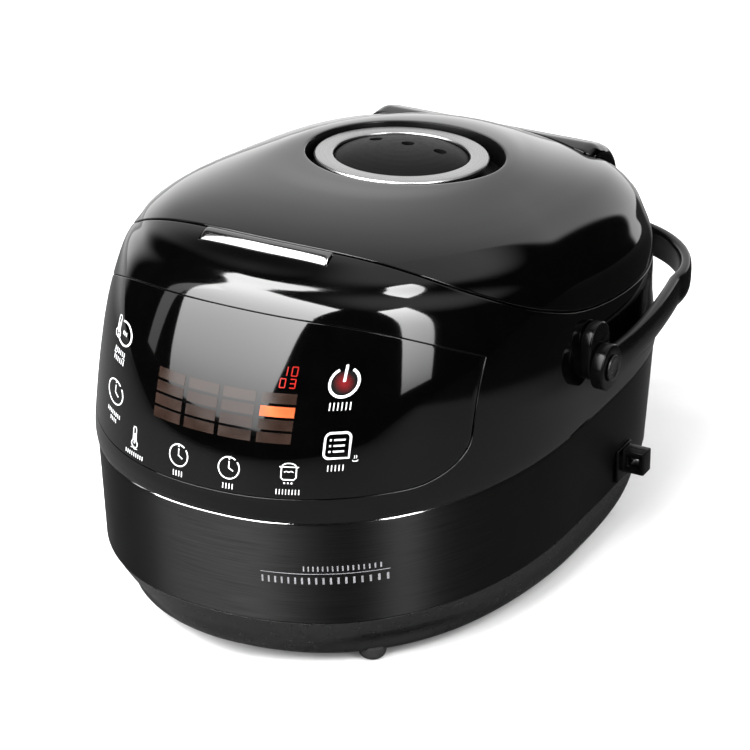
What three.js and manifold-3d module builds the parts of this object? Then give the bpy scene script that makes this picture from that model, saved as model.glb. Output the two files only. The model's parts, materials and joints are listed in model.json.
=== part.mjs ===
// A countertop electric multicooker as an assembly, in millimetres, +Z up, front towards -Y, +X to the
// right of someone facing the front. It stands on its feet at z = 0.
import * as THREE from "three";
import { mergeVertices } from "three/addons/utils/BufferGeometryUtils.js";
import Module from "manifold-3d";

const wasm = await Module();
wasm.setup();

// ---- driving dimensions ----

const BODY_SHIFT_Y = -18.17; // centres the whole footprint, carry handle included, on the origin
const SEGMENTS = 32; // points round each body section
const GAP = 0.3; // clearance between neighbouring pieces
const WALL = 2.8; // moulded wall
const BAND_BOTTOM = 36.5;
const BAND_TOP = 103;
const BAND_WALL = 1.4;
const POT = { y: 25, radius: 112, wall: 1.8, bottom: 32, rim: 150.4, flange: 119.5, corner: 16 };
const WELL_RADIUS = 123.5; // the recess that the lid's liner drops into
const DECK_TOP = 150;
const LID_GAP = 1; // the shut line between lid and housing
const PANEL = { half: 122.5, bottom: 118.2, corner: 20, gap: 0.6 };
const VALVE = { y: 42.8, z: 235, tilt: -0.06, ring: 52.9, bore: 41.2, recess: 60, depth: 12 };
const HINGE = { y: 192, z: 158.5, pin: 2.5, barrel: 5, half: 47 };
const HANDLE = { y: 10, z: 141, reach: 218, angle: -0.05, arm: 152, thick: 8, height: 20, pin: 5 };
const LATCH = { half: 40.5, sweep: 298, front: -130, back: -119 };
const INLET = { x: -38, y: 190, z: 64, width: 30, height: 23 };
const BOARD_POSTS = [-14, 66]; // where the base carries the power board, along X
const SCREW_SPOTS = [[-62, -118], [62, -118], [-70, 138], [70, 138]];
const FOOT_SPOTS = [
  ["front_left", -72, -128], ["front_right", 75, -135], ["rear_left", -82, 140], ["rear_right", 82, 140],
];

// Level sections of the base, from its underside up to the band: height, how far it reaches to the
// front and to the back, half width, and the roundness (superellipse exponent) of its front and back
// halves. The band runs from the last of them to its own upper edge.
const BASE_SECTIONS = [
  { z: 5.6, reach: [158, 168], half: 115, round: [2.2, 2.9] },
  { z: 6.6, reach: [168, 180], half: 126, round: [2.25, 3] },
  { z: 14.5, reach: [180, 184.5], half: 136, round: [1.85, 3] },
  { z: 24.5, reach: [183, 189], half: 136, round: [2.1, 3.4] },
  { z: 36.2, reach: [187.5, 190], half: 139, round: [2.26, 3.5] },
];
const BAND_LOWER = BASE_SECTIONS[4];
const BAND_UPPER = { reach: [192.5, 193.8], half: 140.5, round: [2.26, 3.7] };

// Body sections from the band's top edge to the crown. Each is an outline in a plane that slopes from
// front to back: y and z at its front and at its back, its half width and the y where it is widest,
// and its roundness in front and behind.
const SECTIONS = [
  { front: [-193.5, 103], back: [194.5, 103], half: 142, widest: 0, round: [2.24, 3.6] },
  { front: [-195, 108], back: [195, 108], half: 143.2, widest: 0, round: [2.2, 3.5] },
  { front: [-195.5, 118.2], back: [195, 118], half: 143.3, widest: 0, round: [2.16, 3.35] },
  { front: [-189.5, 150], back: [195, 134.5], half: 141.5, widest: 0, round: [2.16, 3.3] },
  { front: [-177.5, 184.5], back: [193.5, 150.5], half: 139.3, widest: 0, round: [2.16, 3.5] },
  { front: [-160.5, 214.7], back: [191.5, 164], half: 134.6, widest: 2, round: [2.16, 3.85] },
  { front: [-147, 226], back: [188.5, 176.5], half: 127.6, widest: 4, round: [2.2, 4.1] },
  { front: [-135.5, 229.9], back: [184, 189.5], half: 120, widest: 7, round: [2.4, 4.3] },
  { front: [-121, 239.2], back: [178, 201], half: 108.6, widest: 11, round: [2.43, 4.1] },
  { front: [-104, 243], back: [169, 209], half: 97.2, widest: 17, round: [2.36, 3.35] },
  { front: [-82, 244.6], back: [156, 217], half: 85, widest: 24, round: [2.26, 2.6] },
  { front: [-56, 244.2], back: [140, 225], half: 73.6, widest: 31, round: [2.16, 2.1] },
  { front: [-30, 242.4], back: [120, 231], half: 63.7, widest: 38, round: [2.08, 2] },
  { front: [-8, 240.8], back: [96, 234.3], half: 49.9, widest: 42.8, round: [2, 2] },
  { front: [22, 239.2], back: [64, 236.2], half: 21, widest: 42.8, round: [2, 2] },
];

// The shut line between housing and lid, seen from the side: y and z from front to back.
const SEAM = [
  [-260, 268], [-160, 248], [-128, 241], [-120, 239.5], [-111, 235], [-91, 220], [-60, 201.5],
  [-28, 187], [8, 174.5], [52, 165.5], [104, 159.6], [150, 157.4], [200, 157], [260, 157],
];

// The top edge of the control panel, seen from the side.
const PANEL_TOP = [
  [-230, 232], [-190, 224], [-160, 214.7], [-146, 210.2], [-130, 203], [-98.5, 186.5], [-60, 166],
];

// ---- geometry helpers ----

const moved = (x, y, z) => new THREE.Matrix4().makeTranslation(x, y, z);
const turnedX = (angle) => new THREE.Matrix4().makeRotationX(angle);
const mix = (a, b, t) => a + (b - a) * t;

// A closed geometry as a solid.
function solid(geometry, matrix = new THREE.Matrix4()) {
  const g = geometry.index ? geometry.toNonIndexed() : geometry.clone();
  g.deleteAttribute("normal");
  g.deleteAttribute("uv");
  const merged = mergeVertices(g.applyMatrix4(matrix), 1e-4);
  return new wasm.Manifold(
    new wasm.Mesh({
      numProp: 3,
      vertProperties: merged.attributes.position.array,
      triVerts: new Uint32Array(merged.index.array),
    }),
  );
}

// A solid as a geometry with flat faces.
function geometryOf(body) {
  const mesh = body.getMesh();
  const corners = new Float32Array(mesh.numVert * 3);
  for (let i = 0; i < mesh.numVert; i++) {
    const at = i * mesh.numProp;
    corners.set(mesh.vertProperties.subarray(at, at + 3), i * 3);
  }
  const g = new THREE.BufferGeometry();
  g.setAttribute("position", new THREE.BufferAttribute(corners, 3));
  g.setIndex(new THREE.BufferAttribute(mesh.triVerts, 1));
  const flat = g.toNonIndexed();
  flat.computeVertexNormals();
  return flat;
}

function box(low, high) {
  const size = high.map((v, i) => v - low[i]);
  const centre = high.map((v, i) => (v + low[i]) / 2);
  return solid(new THREE.BoxGeometry(...size), moved(...centre));
}

// A turned piece about the vertical axis through (x, y): profile points are [radius, height], and the
// profile starts and ends on the axis or is closed on itself here.
function turned(profile, x = 0, y = 0, segments = 32, frame = new THREE.Matrix4()) {
  const outline = profile[0][0] === 0 ? profile : [...profile, profile[0]];
  const place = frame.clone().multiply(moved(x, y, 0)).multiply(turnedX(Math.PI / 2));
  const revolve = (list) =>
    solid(new THREE.LatheGeometry(list.map(([r, z]) => new THREE.Vector2(r, z)), segments), place);
  const body = revolve(outline);
  return body.volume() > 0 ? body : revolve([...outline].reverse());
}

const rod = (x, y, low, high, radius, segments = 24, frame) =>
  turned([[0, low], [radius, low], [radius, high], [0, high]], x, y, segments, frame);

const pipe = (x, y, low, high, inner, outer, segments = 32, frame) =>
  turned([[inner, low], [outer, low], [outer, high], [inner, high]], x, y, segments, frame);

// A rod along X at (y, z).
function rodX(low, high, y, z, radius, segments = 24) {
  const g = new THREE.CylinderGeometry(radius, radius, high - low, segments);
  const turn = new THREE.Matrix4().makeRotationZ(Math.PI / 2);
  return solid(g, moved((low + high) / 2, y, z).multiply(turn));
}

const asShape = (outline) =>
  outline instanceof THREE.Shape ? outline : new THREE.Shape(outline.map((p) => new THREE.Vector2(...p)));

// An outline extruded from low to high along one axis. The outline's two numbers are Y and Z for an
// extrusion along X, X and Z for one along Y, and X and Y for one along Z.
function prism(axis, outline, low, high) {
  const settings = { depth: high - low, bevelEnabled: false, curveSegments: 6 };
  const g = new THREE.ExtrudeGeometry(asShape(outline), settings);
  g.translate(0, 0, axis === "y" ? -high : low);
  const basis = new THREE.Matrix4();
  const [X, Y, Z] = [[1, 0, 0], [0, 1, 0], [0, 0, 1]].map((v) => new THREE.Vector3(...v));
  if (axis === "x") basis.makeBasis(Y, Z, X);
  if (axis === "y") basis.makeBasis(X, Z, Y.negate());
  return solid(g, basis);
}

// A rectangle with round corners, centred on (a, b).
function roundedRectangle(a, b, width, height, radius) {
  const [w, h] = [width / 2 - radius, height / 2 - radius];
  const shape = new THREE.Shape();
  shape.absarc(a + w, b + h, radius, 0, Math.PI / 2, false);
  shape.absarc(a - w, b + h, radius, Math.PI / 2, Math.PI, false);
  shape.absarc(a - w, b - h, radius, Math.PI, 1.5 * Math.PI, false);
  shape.absarc(a + w, b - h, radius, 1.5 * Math.PI, 2 * Math.PI, false);
  return shape;
}

// A skin over closed rings of equal point counts, with flat ends.
function loft(rings) {
  const count = rings[0].length;
  const points = rings.flat();
  const index = [];
  for (let k = 0; k + 1 < rings.length; k++)
    for (let j = 0; j < count; j++) {
      const a = k * count + j;
      const b = k * count + ((j + 1) % count);
      index.push(a, b, b + count, a, b + count, a + count);
    }
  for (const [k, first] of [[0, true], [rings.length - 1, false]]) {
    points.push(rings[k].reduce((sum, p) => sum.add(p), new THREE.Vector3()).divideScalar(count));
    const centre = points.length - 1;
    for (let j = 0; j < count; j++) {
      const a = k * count + j;
      const b = k * count + ((j + 1) % count);
      index.push(...(first ? [b, a, centre] : [a, b, centre]));
    }
  }
  const g = new THREE.BufferGeometry().setFromPoints(points);
  g.setIndex(index);
  const body = solid(g);
  return body.volume() > 0 ? body : loft(rings.map((ring) => [...ring].reverse()));
}

// The rings moved outwards by a distance along the skin's normal.
function offset(rings, distance) {
  const count = rings[0].length;
  return rings.map((ring, k) =>
    ring.map((p, j) => {
      const along = ring[(j + 1) % count].clone().sub(ring[(j + count - 1) % count]);
      const upper = rings[Math.min(k + 1, rings.length - 1)][j];
      const lower = rings[Math.max(k - 1, 0)][j];
      const normal = along.cross(upper.clone().sub(lower)).normalize();
      return p.clone().addScaledVector(normal, distance);
    }),
  );
}

// A closed tube of a given cross-section along a list of frames: centre, outward and upward directions.
function tube(frames, profile) {
  return loft(
    frames.map(({ centre, out, up }) =>
      profile.map(([p, q]) => centre.clone().addScaledVector(out, p).addScaledVector(up, q)),
    ),
  );
}

const roundProfile = (radius, sides) =>
  Array.from({ length: sides }, (_, j) => {
    const angle = (j * 2 * Math.PI) / sides;
    return [radius * Math.cos(angle), radius * Math.sin(angle)];
  });

// A wire wound into a spring: start point, axis, height, coil radius, turns and wire radius.
function coil(start, axis, height, radius, turns, wire) {
  const up = new THREE.Vector3(...axis);
  const side = new THREE.Vector3(up.z, up.x, up.y);
  const other = up.clone().cross(side);
  const steps = turns * 6;
  const frames = [];
  for (let i = 0; i <= steps; i++) {
    const angle = (i / steps) * turns * 2 * Math.PI;
    const out = side.clone().multiplyScalar(Math.cos(angle)).addScaledVector(other, Math.sin(angle));
    const rise = wire + (height - 2 * wire) * (i / steps);
    const centre = new THREE.Vector3(...start).addScaledVector(up, rise).addScaledVector(out, radius);
    frames.push({ centre, out, up });
  }
  return tube(frames, roundProfile(wire, 4));
}

// ---- body shape ----

// A smooth curve through values at whole numbers, read at u.
function smooth(values, u) {
  const last = values.length - 1;
  const i = Math.min(Math.floor(u), last - 1);
  const t = u - i;
  const at = (n) => values[Math.min(Math.max(n, 0), last)];
  const [a, b, c, d] = [at(i - 1), at(i), at(i + 1), at(i + 2)];
  return b + 0.5 * t * (c - a + t * (2 * a - 5 * b + 4 * c - d + t * (3 * (b - c) + d - a)));
}

// One rounded outline of the body.
function section({ front, back, half, widest, round }) {
  const points = [];
  for (let j = 0; j < SEGMENTS; j++) {
    const angle = (2 * Math.PI * j) / SEGMENTS;
    const [c, s] = [Math.cos(angle), Math.sin(angle)];
    const power = 2 / (s < 0 ? round[0] : round[1]);
    const reach = (s < 0 ? widest - front[0] : back[0] - widest) * Math.sign(s);
    const x = half * Math.sign(c) * Math.abs(c) ** power;
    const y = widest + reach * Math.abs(s) ** power;
    const z = mix(front[1], back[1], (y - front[0]) / (back[0] - front[0]));
    points.push(new THREE.Vector3(x, y, z));
  }
  return points;
}

// All the body's outlines, with a number of steps from each listed section to the next.
function bodyRings(steps) {
  const rings = [];
  for (let n = 0; n <= (SECTIONS.length - 1) * steps; n++) {
    const read = (pick) => smooth(SECTIONS.map(pick), n / steps);
    rings.push(
      section({
        front: [read((s) => s.front[0]), read((s) => s.front[1])],
        back: [read((s) => s.back[0]), read((s) => s.back[1])],
        half: read((s) => s.half),
        widest: read((s) => s.widest),
        round: [read((s) => s.round[0]), read((s) => s.round[1])],
      }),
    );
  }
  return rings;
}

// A level outline at a height, moved in by an inset.
const outline = ({ reach, half, round }, z, inset = 0) =>
  section({ front: [inset - reach[0], z], back: [reach[1] - inset, z], half: half - inset, widest: 0, round });

// A wall that follows a level outline, between two insets and two heights.
const wallBetween = (edge, [low, high], [outer, inner]) =>
  loft([outline(edge, low, outer), outline(edge, high, outer)]).subtract(
    loft([outline(edge, low - 2, inner), outline(edge, high + 2, inner)]),
  );

// Everything under a side-view curve, right across the body.
function under(curve, rise) {
  const spline = new THREE.SplineCurve(curve.map(([y, z]) => new THREE.Vector2(y, z + rise)));
  const points = spline.getPoints(30).map((p) => [p.x, p.y]);
  const [first, last] = [points[0][0], points[points.length - 1][0]];
  return prism("x", [[first, -60], [last, -60], ...points.reverse()], -220, 220);
}

// The body as a solid, its skin moved outwards by a distance; moved inwards, it is also open below.
function skin(distance) {
  const rings = offset(bodyRings(1), distance);
  const lowered = rings[0].map((p) => new THREE.Vector3(p.x, p.y, BAND_TOP - 8));
  return loft(distance < 0 ? [lowered, ...rings] : rings);
}

const OUTER = skin(0);
const SHELL = OUTER.subtract(skin(-WALL));
const INSIDE = skin(-WALL - 0.6);

// Room for the hinge: the barrels' clearance, and slots on both sides for arms between two x values.
function hingeRoom(from, to, low, high) {
  let room = rodX(-HINGE.half, HINGE.half, HINGE.y, HINGE.z, HINGE.barrel + 0.7, 16);
  for (const side of [[from, to], [-to, -from]])
    room = room.add(box([side[0] - 0.6, HINGE.y - 9, low], [side[1] + 0.6, HINGE.y + 8, high]));
  return room;
}
const bracketRoom = hingeRoom(34, 44, HINGE.z - 17, HINGE.z + 5);
const knuckleRoom = hingeRoom(20, 33, HINGE.z - 5, HINGE.z + 9);
const valveFrame = moved(0, VALVE.y, VALVE.z).multiply(turnedX(VALVE.tilt));

// A cutter for the control panel, which fills the front wall between two edges and the panel's top line.
function panelCutter(inset) {
  const height = 200;
  const middle = PANEL.bottom + inset + height / 2;
  const face = roundedRectangle(0, middle, 2 * (PANEL.half - inset), height, PANEL.corner);
  return prism("y", face, -230, -50).intersect(under(PANEL_TOP, -inset));
}

// The latch button's outline from above, with its swept front edge, grown by a margin.
function latchOutline(grow) {
  const half = LATCH.half + grow;
  const turn = Math.asin(half / LATCH.sweep);
  const shape = new THREE.Shape();
  shape.moveTo(half, LATCH.back + grow);
  shape.lineTo(-half, LATCH.back + grow);
  const centre = LATCH.front - grow + LATCH.sweep;
  shape.absarc(0, centre, LATCH.sweep, 1.5 * Math.PI - turn, 1.5 * Math.PI + turn, false);
  return shape;
}

// ---- the assembly ----

const model = new THREE.Group();
model.position.y = BODY_SHIFT_Y;

const finish = (color, roughness, metalness) =>
  new THREE.MeshStandardMaterial({ color, roughness, metalness });
const FINISH = {
  gloss: finish(0x08080a, 0.08, 0),
  satin: finish(0x111113, 0.4, 0),
  matte: finish(0x1a1a1c, 0.7, 0),
  band: finish(0x1d1e20, 0.32, 0.9),
  silver: finish(0x8d8f91, 0.3, 1),
  steel: finish(0xb8babd, 0.3, 1),
  aluminium: finish(0xc4c5c7, 0.42, 1),
  coating: finish(0x232325, 0.5, 0),
  silicone: finish(0xd6d6d2, 0.6, 0),
  rubber: finish(0x0c0c0c, 0.85, 0),
  board: finish(0x14532f, 0.5, 0),
  glass: finish(0x2a1410, 0.1, 0),
  copper: finish(0xb66a3c, 0.35, 1),
  cable: finish(0x9a1d1d, 0.5, 0),
};

function part(name, body, material) {
  const mesh = new THREE.Mesh(geometryOf(body), material);
  mesh.name = name;
  model.add(mesh);
}

// Base tray: rounded underside, vents, screw posts and a lip that the band slips over.
const baseRings = (inset, rise = 0) => BASE_SECTIONS.map((at) => outline(at, at.z + rise, inset));

function base() {
  let body = loft(baseRings(0)).subtract(loft(baseRings(WALL, WALL)));
  body = body.add(wallBetween(BAND_LOWER, [32, 44], [BAND_WALL + 0.6, 4]));
  for (const [x, y] of SCREW_SPOTS) {
    body = body.add(rod(x, y, 7, 28, 5.4, 12));
    body = body.subtract(rod(x, y, 0, 26, 2.2, 12)).subtract(rod(x, y, 0, 11, 4.4, 12));
  }
  for (const x of BOARD_POSTS) body = body.add(box([x - 3, 157, 7], [x + 3, 164.6, 47.7]));
  for (let row = -2; row <= 2; row++)
    for (const side of [-1, 1]) {
      const slot = box([side * 36 - 26, row * 16 - 3, 3], [side * 36 + 26, row * 16 + 3, 11]);
      body = body.subtract(slot);
    }
  part("base_shell", body, FINISH.satin);
}

function feetAndScrews() {
  const clearance = loft([outline(BASE_SECTIONS[0], 5.3, -GAP), ...baseRings(-GAP).slice(1)]);
  for (const [spot, x, y] of FOOT_SPOTS) {
    const foot = turned([[0, 0], [5.5, 0], [7.6, 1.8], [8.4, 5], [8.4, 14], [0, 14]], x, y, 16);
    part("foot_" + spot, foot.subtract(clearance), FINISH.rubber);
  }
  const profile = [[0, 7.6], [3.4, 7.6], [3.9, 8.4], [3.9, 10.6], [1.8, 10.6], [1.8, 25], [0, 25.6]];
  SCREW_SPOTS.forEach(([x, y], i) => part("base_screw_" + (i + 1), turned(profile, x, y, 12), FINISH.steel));
}

// Brushed metal sleeve between base and upper housing, with a window for the mains inlet.
const bandRings = (inset) => [outline(BAND_LOWER, BAND_BOTTOM, inset), outline(BAND_UPPER, BAND_TOP - GAP, inset)];

function band() {
  const ends = [outline(BAND_LOWER, BAND_BOTTOM - 5, BAND_WALL), outline(BAND_UPPER, BAND_TOP + 5, BAND_WALL)];
  const hole = loft([ends[0], ...bandRings(BAND_WALL), ends[1]]);
  const window = prism("y", roundedRectangle(INLET.x, INLET.z, INLET.width, INLET.height, 1), 150, 230);
  part("outer_band", loft(bandRings(0)).subtract(hole).subtract(window), FINISH.band);
}

// Upper housing: the glossy shell from the band up to the shut line, open where panel and latch sit.
function housing() {
  const lip = wallBetween(BAND_UPPER, [BAND_TOP - 6, BAND_TOP + 3], [BAND_WALL + 0.6, 3.9]);
  const sill = wallBetween(BAND_UPPER, [BAND_TOP, BAND_TOP + 2.5], [-0.4, 3.9]);
  const notch = prism("z", latchOutline(0.8), 221, 260);
  const sides = SHELL.subtract(box([-200, -230, 60], [200, 230, BAND_TOP]));
  const body = sides.add(lip).add(sill).intersect(under(SEAM, 0));
  part("upper_housing", body.subtract(panelCutter(0)).subtract(notch).subtract(bracketRoom), FINISH.gloss);
}

const panel = () => part("control_panel", SHELL.intersect(panelCutter(PANEL.gap)), FINISH.gloss);

// Deck: a ledge under the shut line, the round well for the lid's liner and the ring the pot hangs on.
function deck() {
  const ledge = INSIDE.intersect(under(SEAM, -1.2)).subtract(under(SEAM, -3.8));
  const wall = pipe(0, POT.y, DECK_TOP - 2.5, 260, WELL_RADIUS, WELL_RADIUS + 2.4, 36);
  const floor = pipe(0, POT.y, DECK_TOP - 2.5, DECK_TOP, POT.radius + 2.4, WELL_RADIUS + 1, 36);
  const well = rod(0, POT.y, 100, 300, WELL_RADIUS + 0.5, 36);
  const raised = wall.intersect(under(SEAM, -1.2)).intersect(INSIDE);
  const slot = box([-15, -130, 205], [15, -102, 250]);
  const springSeat = box([-12, -131, 196.7], [12, -100, 199.2]);
  let body = ledge.subtract(well).add(raised).add(floor).add(springSeat);
  body = body.subtract(prism("z", latchOutline(1.4), 216, 260)).subtract(bracketRoom).subtract(slot);
  part("top_deck", body, FINISH.satin);
}

// Inner pot: deep drawn, rounded at the bottom, with a rolled flange that hangs on the deck.
function pot() {
  const { y, radius, wall, bottom, rim, flange, corner } = POT;
  const bend = (cut) =>
    Array.from({ length: 5 }, (_, i) => {
      const angle = (Math.PI / 8) * i;
      const r = corner - cut;
      return [radius - corner + r * Math.sin(angle), bottom + corner - r * Math.cos(angle)];
    });
  const lip = [[flange, rim], [flange + 0.6, rim + 1], [flange, rim + 2]];
  const outside = [[0, bottom], ...bend(0), [radius, rim], ...lip];
  const inside = [...bend(wall), [radius - wall, rim + 0.4], [radius - wall + 1.6, rim + 2]].reverse();
  part("inner_pot", turned([...outside, ...inside, [0, bottom + wall]], 0, y, 36), FINISH.coating);
}

// Under the pot: the bucket, its side heater, the heating plate, its posts and the heat shield.
function heater() {
  const y = POT.y;
  const bucket = [[84, 25.8], [117.6, 25.8], [117.6, 147], [116.4, 147], [116.4, 27], [84, 27]];
  part("inner_shell", turned(bucket, 0, y, 32), FINISH.aluminium);
  part("side_heater", pipe(0, y, 82, 104, 118, 120.6, 32), FINISH.silicone);
  const plate = [
    [18, 24], [54, 24], [55, 18.5], [67, 18.5], [68, 24], [80, 24], [82, 26], [82, 31.7], [18, 31.7],
  ];
  part("heating_plate", turned(plate, 0, y, 32), FINISH.aluminium);
  const post = [[0, 8.8], [5.5, 8.8], [3.6, 12], [3.6, 23.7], [0, 23.7]];
  for (let i = 0; i < 3; i++) {
    const angle = Math.PI / 2 + (i * 2 * Math.PI) / 3;
    const [px, py] = [75 * Math.cos(angle), y + 75 * Math.sin(angle)];
    part("heater_support_" + (i + 1), turned(post, px, py, 12), FINISH.steel);
  }
  const shield = [[20, 14.4], [62, 14.4], [65, 12.6], [65, 13.6], [62, 15.4], [20, 15.4]];
  part("heat_shield", turned(shield, 0, y, 32), FINISH.steel);
}

// The temperature sensor in the heater's middle, pressed up against the pot by its spring.
function sensor() {
  const y = POT.y;
  const cap = [[0, 14.2], [4, 14.2], [4, 22.5], [14.4, 22.5], [15, 23.2], [15, 31], [14.4, 31.6], [0, 31.6]];
  part("thermal_sensor", turned(cap, 0, y, 20), FINISH.aluminium);
  const cup = [[5, 8.8], [14, 8.8], [14, 19], [12.6, 19], [12.6, 12.6], [5, 12.6]];
  part("sensor_cup", turned(cup, 0, y, 20), FINISH.steel);
  part("sensor_spring", coil([0, y, 12.9], [0, 0, 1], 9.3, 9, 4, 0.6), FINISH.steel);
}

// Mains inlet in the rear wall, with its blades.
function inlet() {
  const { x, y, z } = INLET;
  const blades = [[-7, -1.8], [0, 2], [7, -1.8]];
  let shell = box([x - 14.6, 168, z - 11.1], [x + 14.6, y, z + 11.1]);
  shell = shell.subtract(box([x - 11.6, y - 16, z - 8], [x + 11.6, y + 5, z + 8]));
  let terminals = box([x - 11, 163, z - 7], [x + 11, 167.6, z + 7]);
  for (const [dx, dz] of blades) {
    const blade = (grow, end) =>
      box([x + dx - 1 - grow, 165, z + dz - 2 - grow], [x + dx + 1 + grow, end, z + dz + 2 + grow]);
    shell = shell.subtract(blade(0.4, y - 12));
    terminals = terminals.add(blade(0, y - 6));
  }
  part("power_inlet", shell, FINISH.satin);
  part("inlet_terminals", terminals, FINISH.copper);
}

// Circuit boards, display and the cable that runs round the well between them.
function electronics() {
  part("power_board", box([-20, 160, 48], [72, 161.6, 116]), FINISH.board);
  part("power_transformer", box([30, 162, 60], [58, 182, 88]), FINISH.matte);
  part("power_relay", box([-8, 162, 84], [12, 178, 102]), FINISH.matte);
  const leaning = (x, y, z, size) =>
    solid(new THREE.BoxGeometry(...size), moved(x, y, z).multiply(turnedX(-0.3)));
  part("control_board", leaning(0, -147, 160, [140, 1.6, 74]), FINISH.board);
  part("display_module", leaning(0, -153, 162, [104, 8, 52]), FINISH.glass);
  const radius = 127.6;
  const frames = [];
  for (let i = 0; i <= 16; i++) {
    const angle = mix(1.24, 0.61, i / 16) * Math.PI;
    const height = mix(118, 74, Math.min(1, i / 7));
    const centre = new THREE.Vector3(radius * Math.cos(angle), POT.y + radius * Math.sin(angle), height);
    const out = new THREE.Vector3(Math.cos(angle), Math.sin(angle), 0);
    frames.push({ centre, out, up: new THREE.Vector3(0, 0, 1) });
  }
  part("wire_harness", tube(frames, roundProfile(3, 6)), FINISH.cable);
}

// Side plates and pins that the carry handle turns on.
function handleMounts() {
  const { y, z, pin, arm, thick } = HANDLE;
  const away = skin(GAP);
  const bore = rodX(-170, 170, y, z, pin + 0.4, 16);
  for (const [side, s] of [["left", -1], ["right", 1]]) {
    const span = (a, b) => (s > 0 ? [a, b] : [-b, -a]);
    const plate = prism("x", roundedRectangle(y, z + 5, 38, 48, 15), ...span(138, arm - thick / 2 - 0.6));
    part("handle_plate_" + side, plate.subtract(away).subtract(bore), FINISH.satin);
    const shaft = rodX(...span(145.6, arm + thick / 2 + 1), y, z, pin, 16);
    const head = rodX(...span(arm + thick / 2 + 0.4, arm + thick / 2 + 1.8), y, z, 8, 16);
    part("handle_pin_" + side, shaft.add(head), FINISH.satin);
  }
}

// The carry handle: a flat bow that lies back round the rear and swings up over the lid.
function carryHandle() {
  const { y, z, reach, angle, arm, thick, height, pin } = HANDLE;
  const taper = 14; // how far each arm leans in before the rear corner
  const corner = [82, 84.5]; // the rear corner's two radii, across and along
  const straight = reach - corner[1];
  const side = [];
  for (let i = 0; i < 8; i++) {
    const lean = Math.max(0, (i / 8 - 0.2) / 0.8) ** 1.6;
    side.push([arm - taper * lean, (straight * i) / 8]);
  }
  for (let i = 0; i <= 8; i++) {
    const a = (Math.PI / 16) * i;
    side.push([arm - taper - corner[0] * (1 - Math.cos(a)), straight + corner[1] * Math.sin(a)]);
  }
  const path = [...side, ...side.map(([a, b]) => [-a, b]).reverse()];
  const place = moved(0, y, z).multiply(turnedX(angle));
  const up = new THREE.Vector3(0, 0, 1).transformDirection(place);
  const frames = path.map(([a, b], i) => {
    const before = path[Math.max(i - 1, 0)];
    const after = path[Math.min(i + 1, path.length - 1)];
    const out = new THREE.Vector3(after[1] - before[1], before[0] - after[0], 0).normalize();
    return { centre: new THREE.Vector3(a, b, 0).applyMatrix4(place), out: out.transformDirection(place), up };
  });
  const [w, h] = [thick / 2, height / 2];
  const quarter = [[w, 0.7 * h], [0.6 * w, h]];
  const half = [...quarter, ...quarter.map(([p, q]) => [-p, q]).reverse()];
  const profile = [...half, ...half.map(([p, q]) => [-p, -q])];
  let body = tube(frames, profile);
  for (const s of [-1, 1]) body = body.add(rodX(s * arm - w, s * arm + w, y, z, 14, 20));
  part("carry_handle", body.subtract(rodX(-170, 170, y, z, pin + 0.4, 16)), FINISH.satin);
}

// Bracket on the right side that holds the ladle and the measuring cup.
function utensilHolder() {
  const block = box([130, 67, 43.5], [154.5, 78, 58.5]).subtract(box([144, 65, 48.2], [151, 80, 53.8]));
  const root = box([130, 60, 38.5], [140.6, 80, 60]);
  part("utensil_holder", block.add(root).subtract(loft(bandRings(-GAP))), FINISH.satin);
}

// Latch: a button let into the front bevel, the hook under it and its return spring.
function latch() {
  const button = OUTER.intersect(prism("z", latchOutline(0), 226.5, 260)).intersect(under(SEAM, 0));
  part("latch_button", button, FINISH.silver);
  const hook = [[-126, 226.2], [-121, 226.2], [-121, 214], [-113.8, 214], [-113.8, 210], [-126, 210]];
  part("latch_hook", prism("x", hook, -9, 9), FINISH.steel);
  part("latch_spring", coil([0, -123.5, 199.5], [0, 0, 1], 10.2, 4, 4, 0.5), FINISH.steel);
}

// Lid: outer dome with the valve recess, liner, seal, inner plate, steam duct and the catch.
function lidShell() {
  const floor = -VALVE.depth;
  const drum = rod(0, 0, floor - 2.5, 30, VALVE.recess + 2.4, 40, valveFrame).intersect(OUTER);
  const bowl = rod(0, 0, floor, 40, VALVE.recess, 40, valveFrame);
  const port = rod(0, 0, floor - 10, 0, 15.5, 32, valveFrame);
  const dome = SHELL.add(drum).subtract(bowl).subtract(port).subtract(under(SEAM, LID_GAP));
  part("lid_outer_shell", dome.subtract(knuckleRoom), FINISH.gloss);
}

// Hinge cover: a cushion on the lid's rear shoulder, flat along the top and round at its ends.
function hingeCover() {
  const side = [[146, 214], [160, 214.8], [172, 211], [182, 205.3], [189, 197], [192.5, 186], [192.5, 169], [146, 169]];
  const ends = roundedRectangle(0, 171, 156, 80, 10);
  const block = prism("x", side, -90, 90).intersect(prism("y", ends, 140, 200));
  part("hinge_cover", block.subtract(skin(GAP)), FINISH.gloss);
}

function lidLiner() {
  const wallOuter = WELL_RADIUS - 2;
  const floorZ = [158.6, 161];
  const flange = INSIDE.intersect(under(SEAM, 3.6)).subtract(under(SEAM, 1.1));
  const wall = pipe(0, POT.y, floorZ[0], 300, wallOuter - 2.4, wallOuter, 36);
  const floor = rod(0, POT.y, ...floorZ, wallOuter - 1, 36);
  const well = rod(0, POT.y, 100, 300, wallOuter - 1, 36);
  let body = flange.subtract(well).add(wall.intersect(under(SEAM, 3.6)).intersect(INSIDE)).add(floor);
  body = body.subtract(knuckleRoom).subtract(rod(0, VALVE.y, 150, 170, 8.6, 24));
  part("lid_liner", body, FINISH.satin);
}

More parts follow.
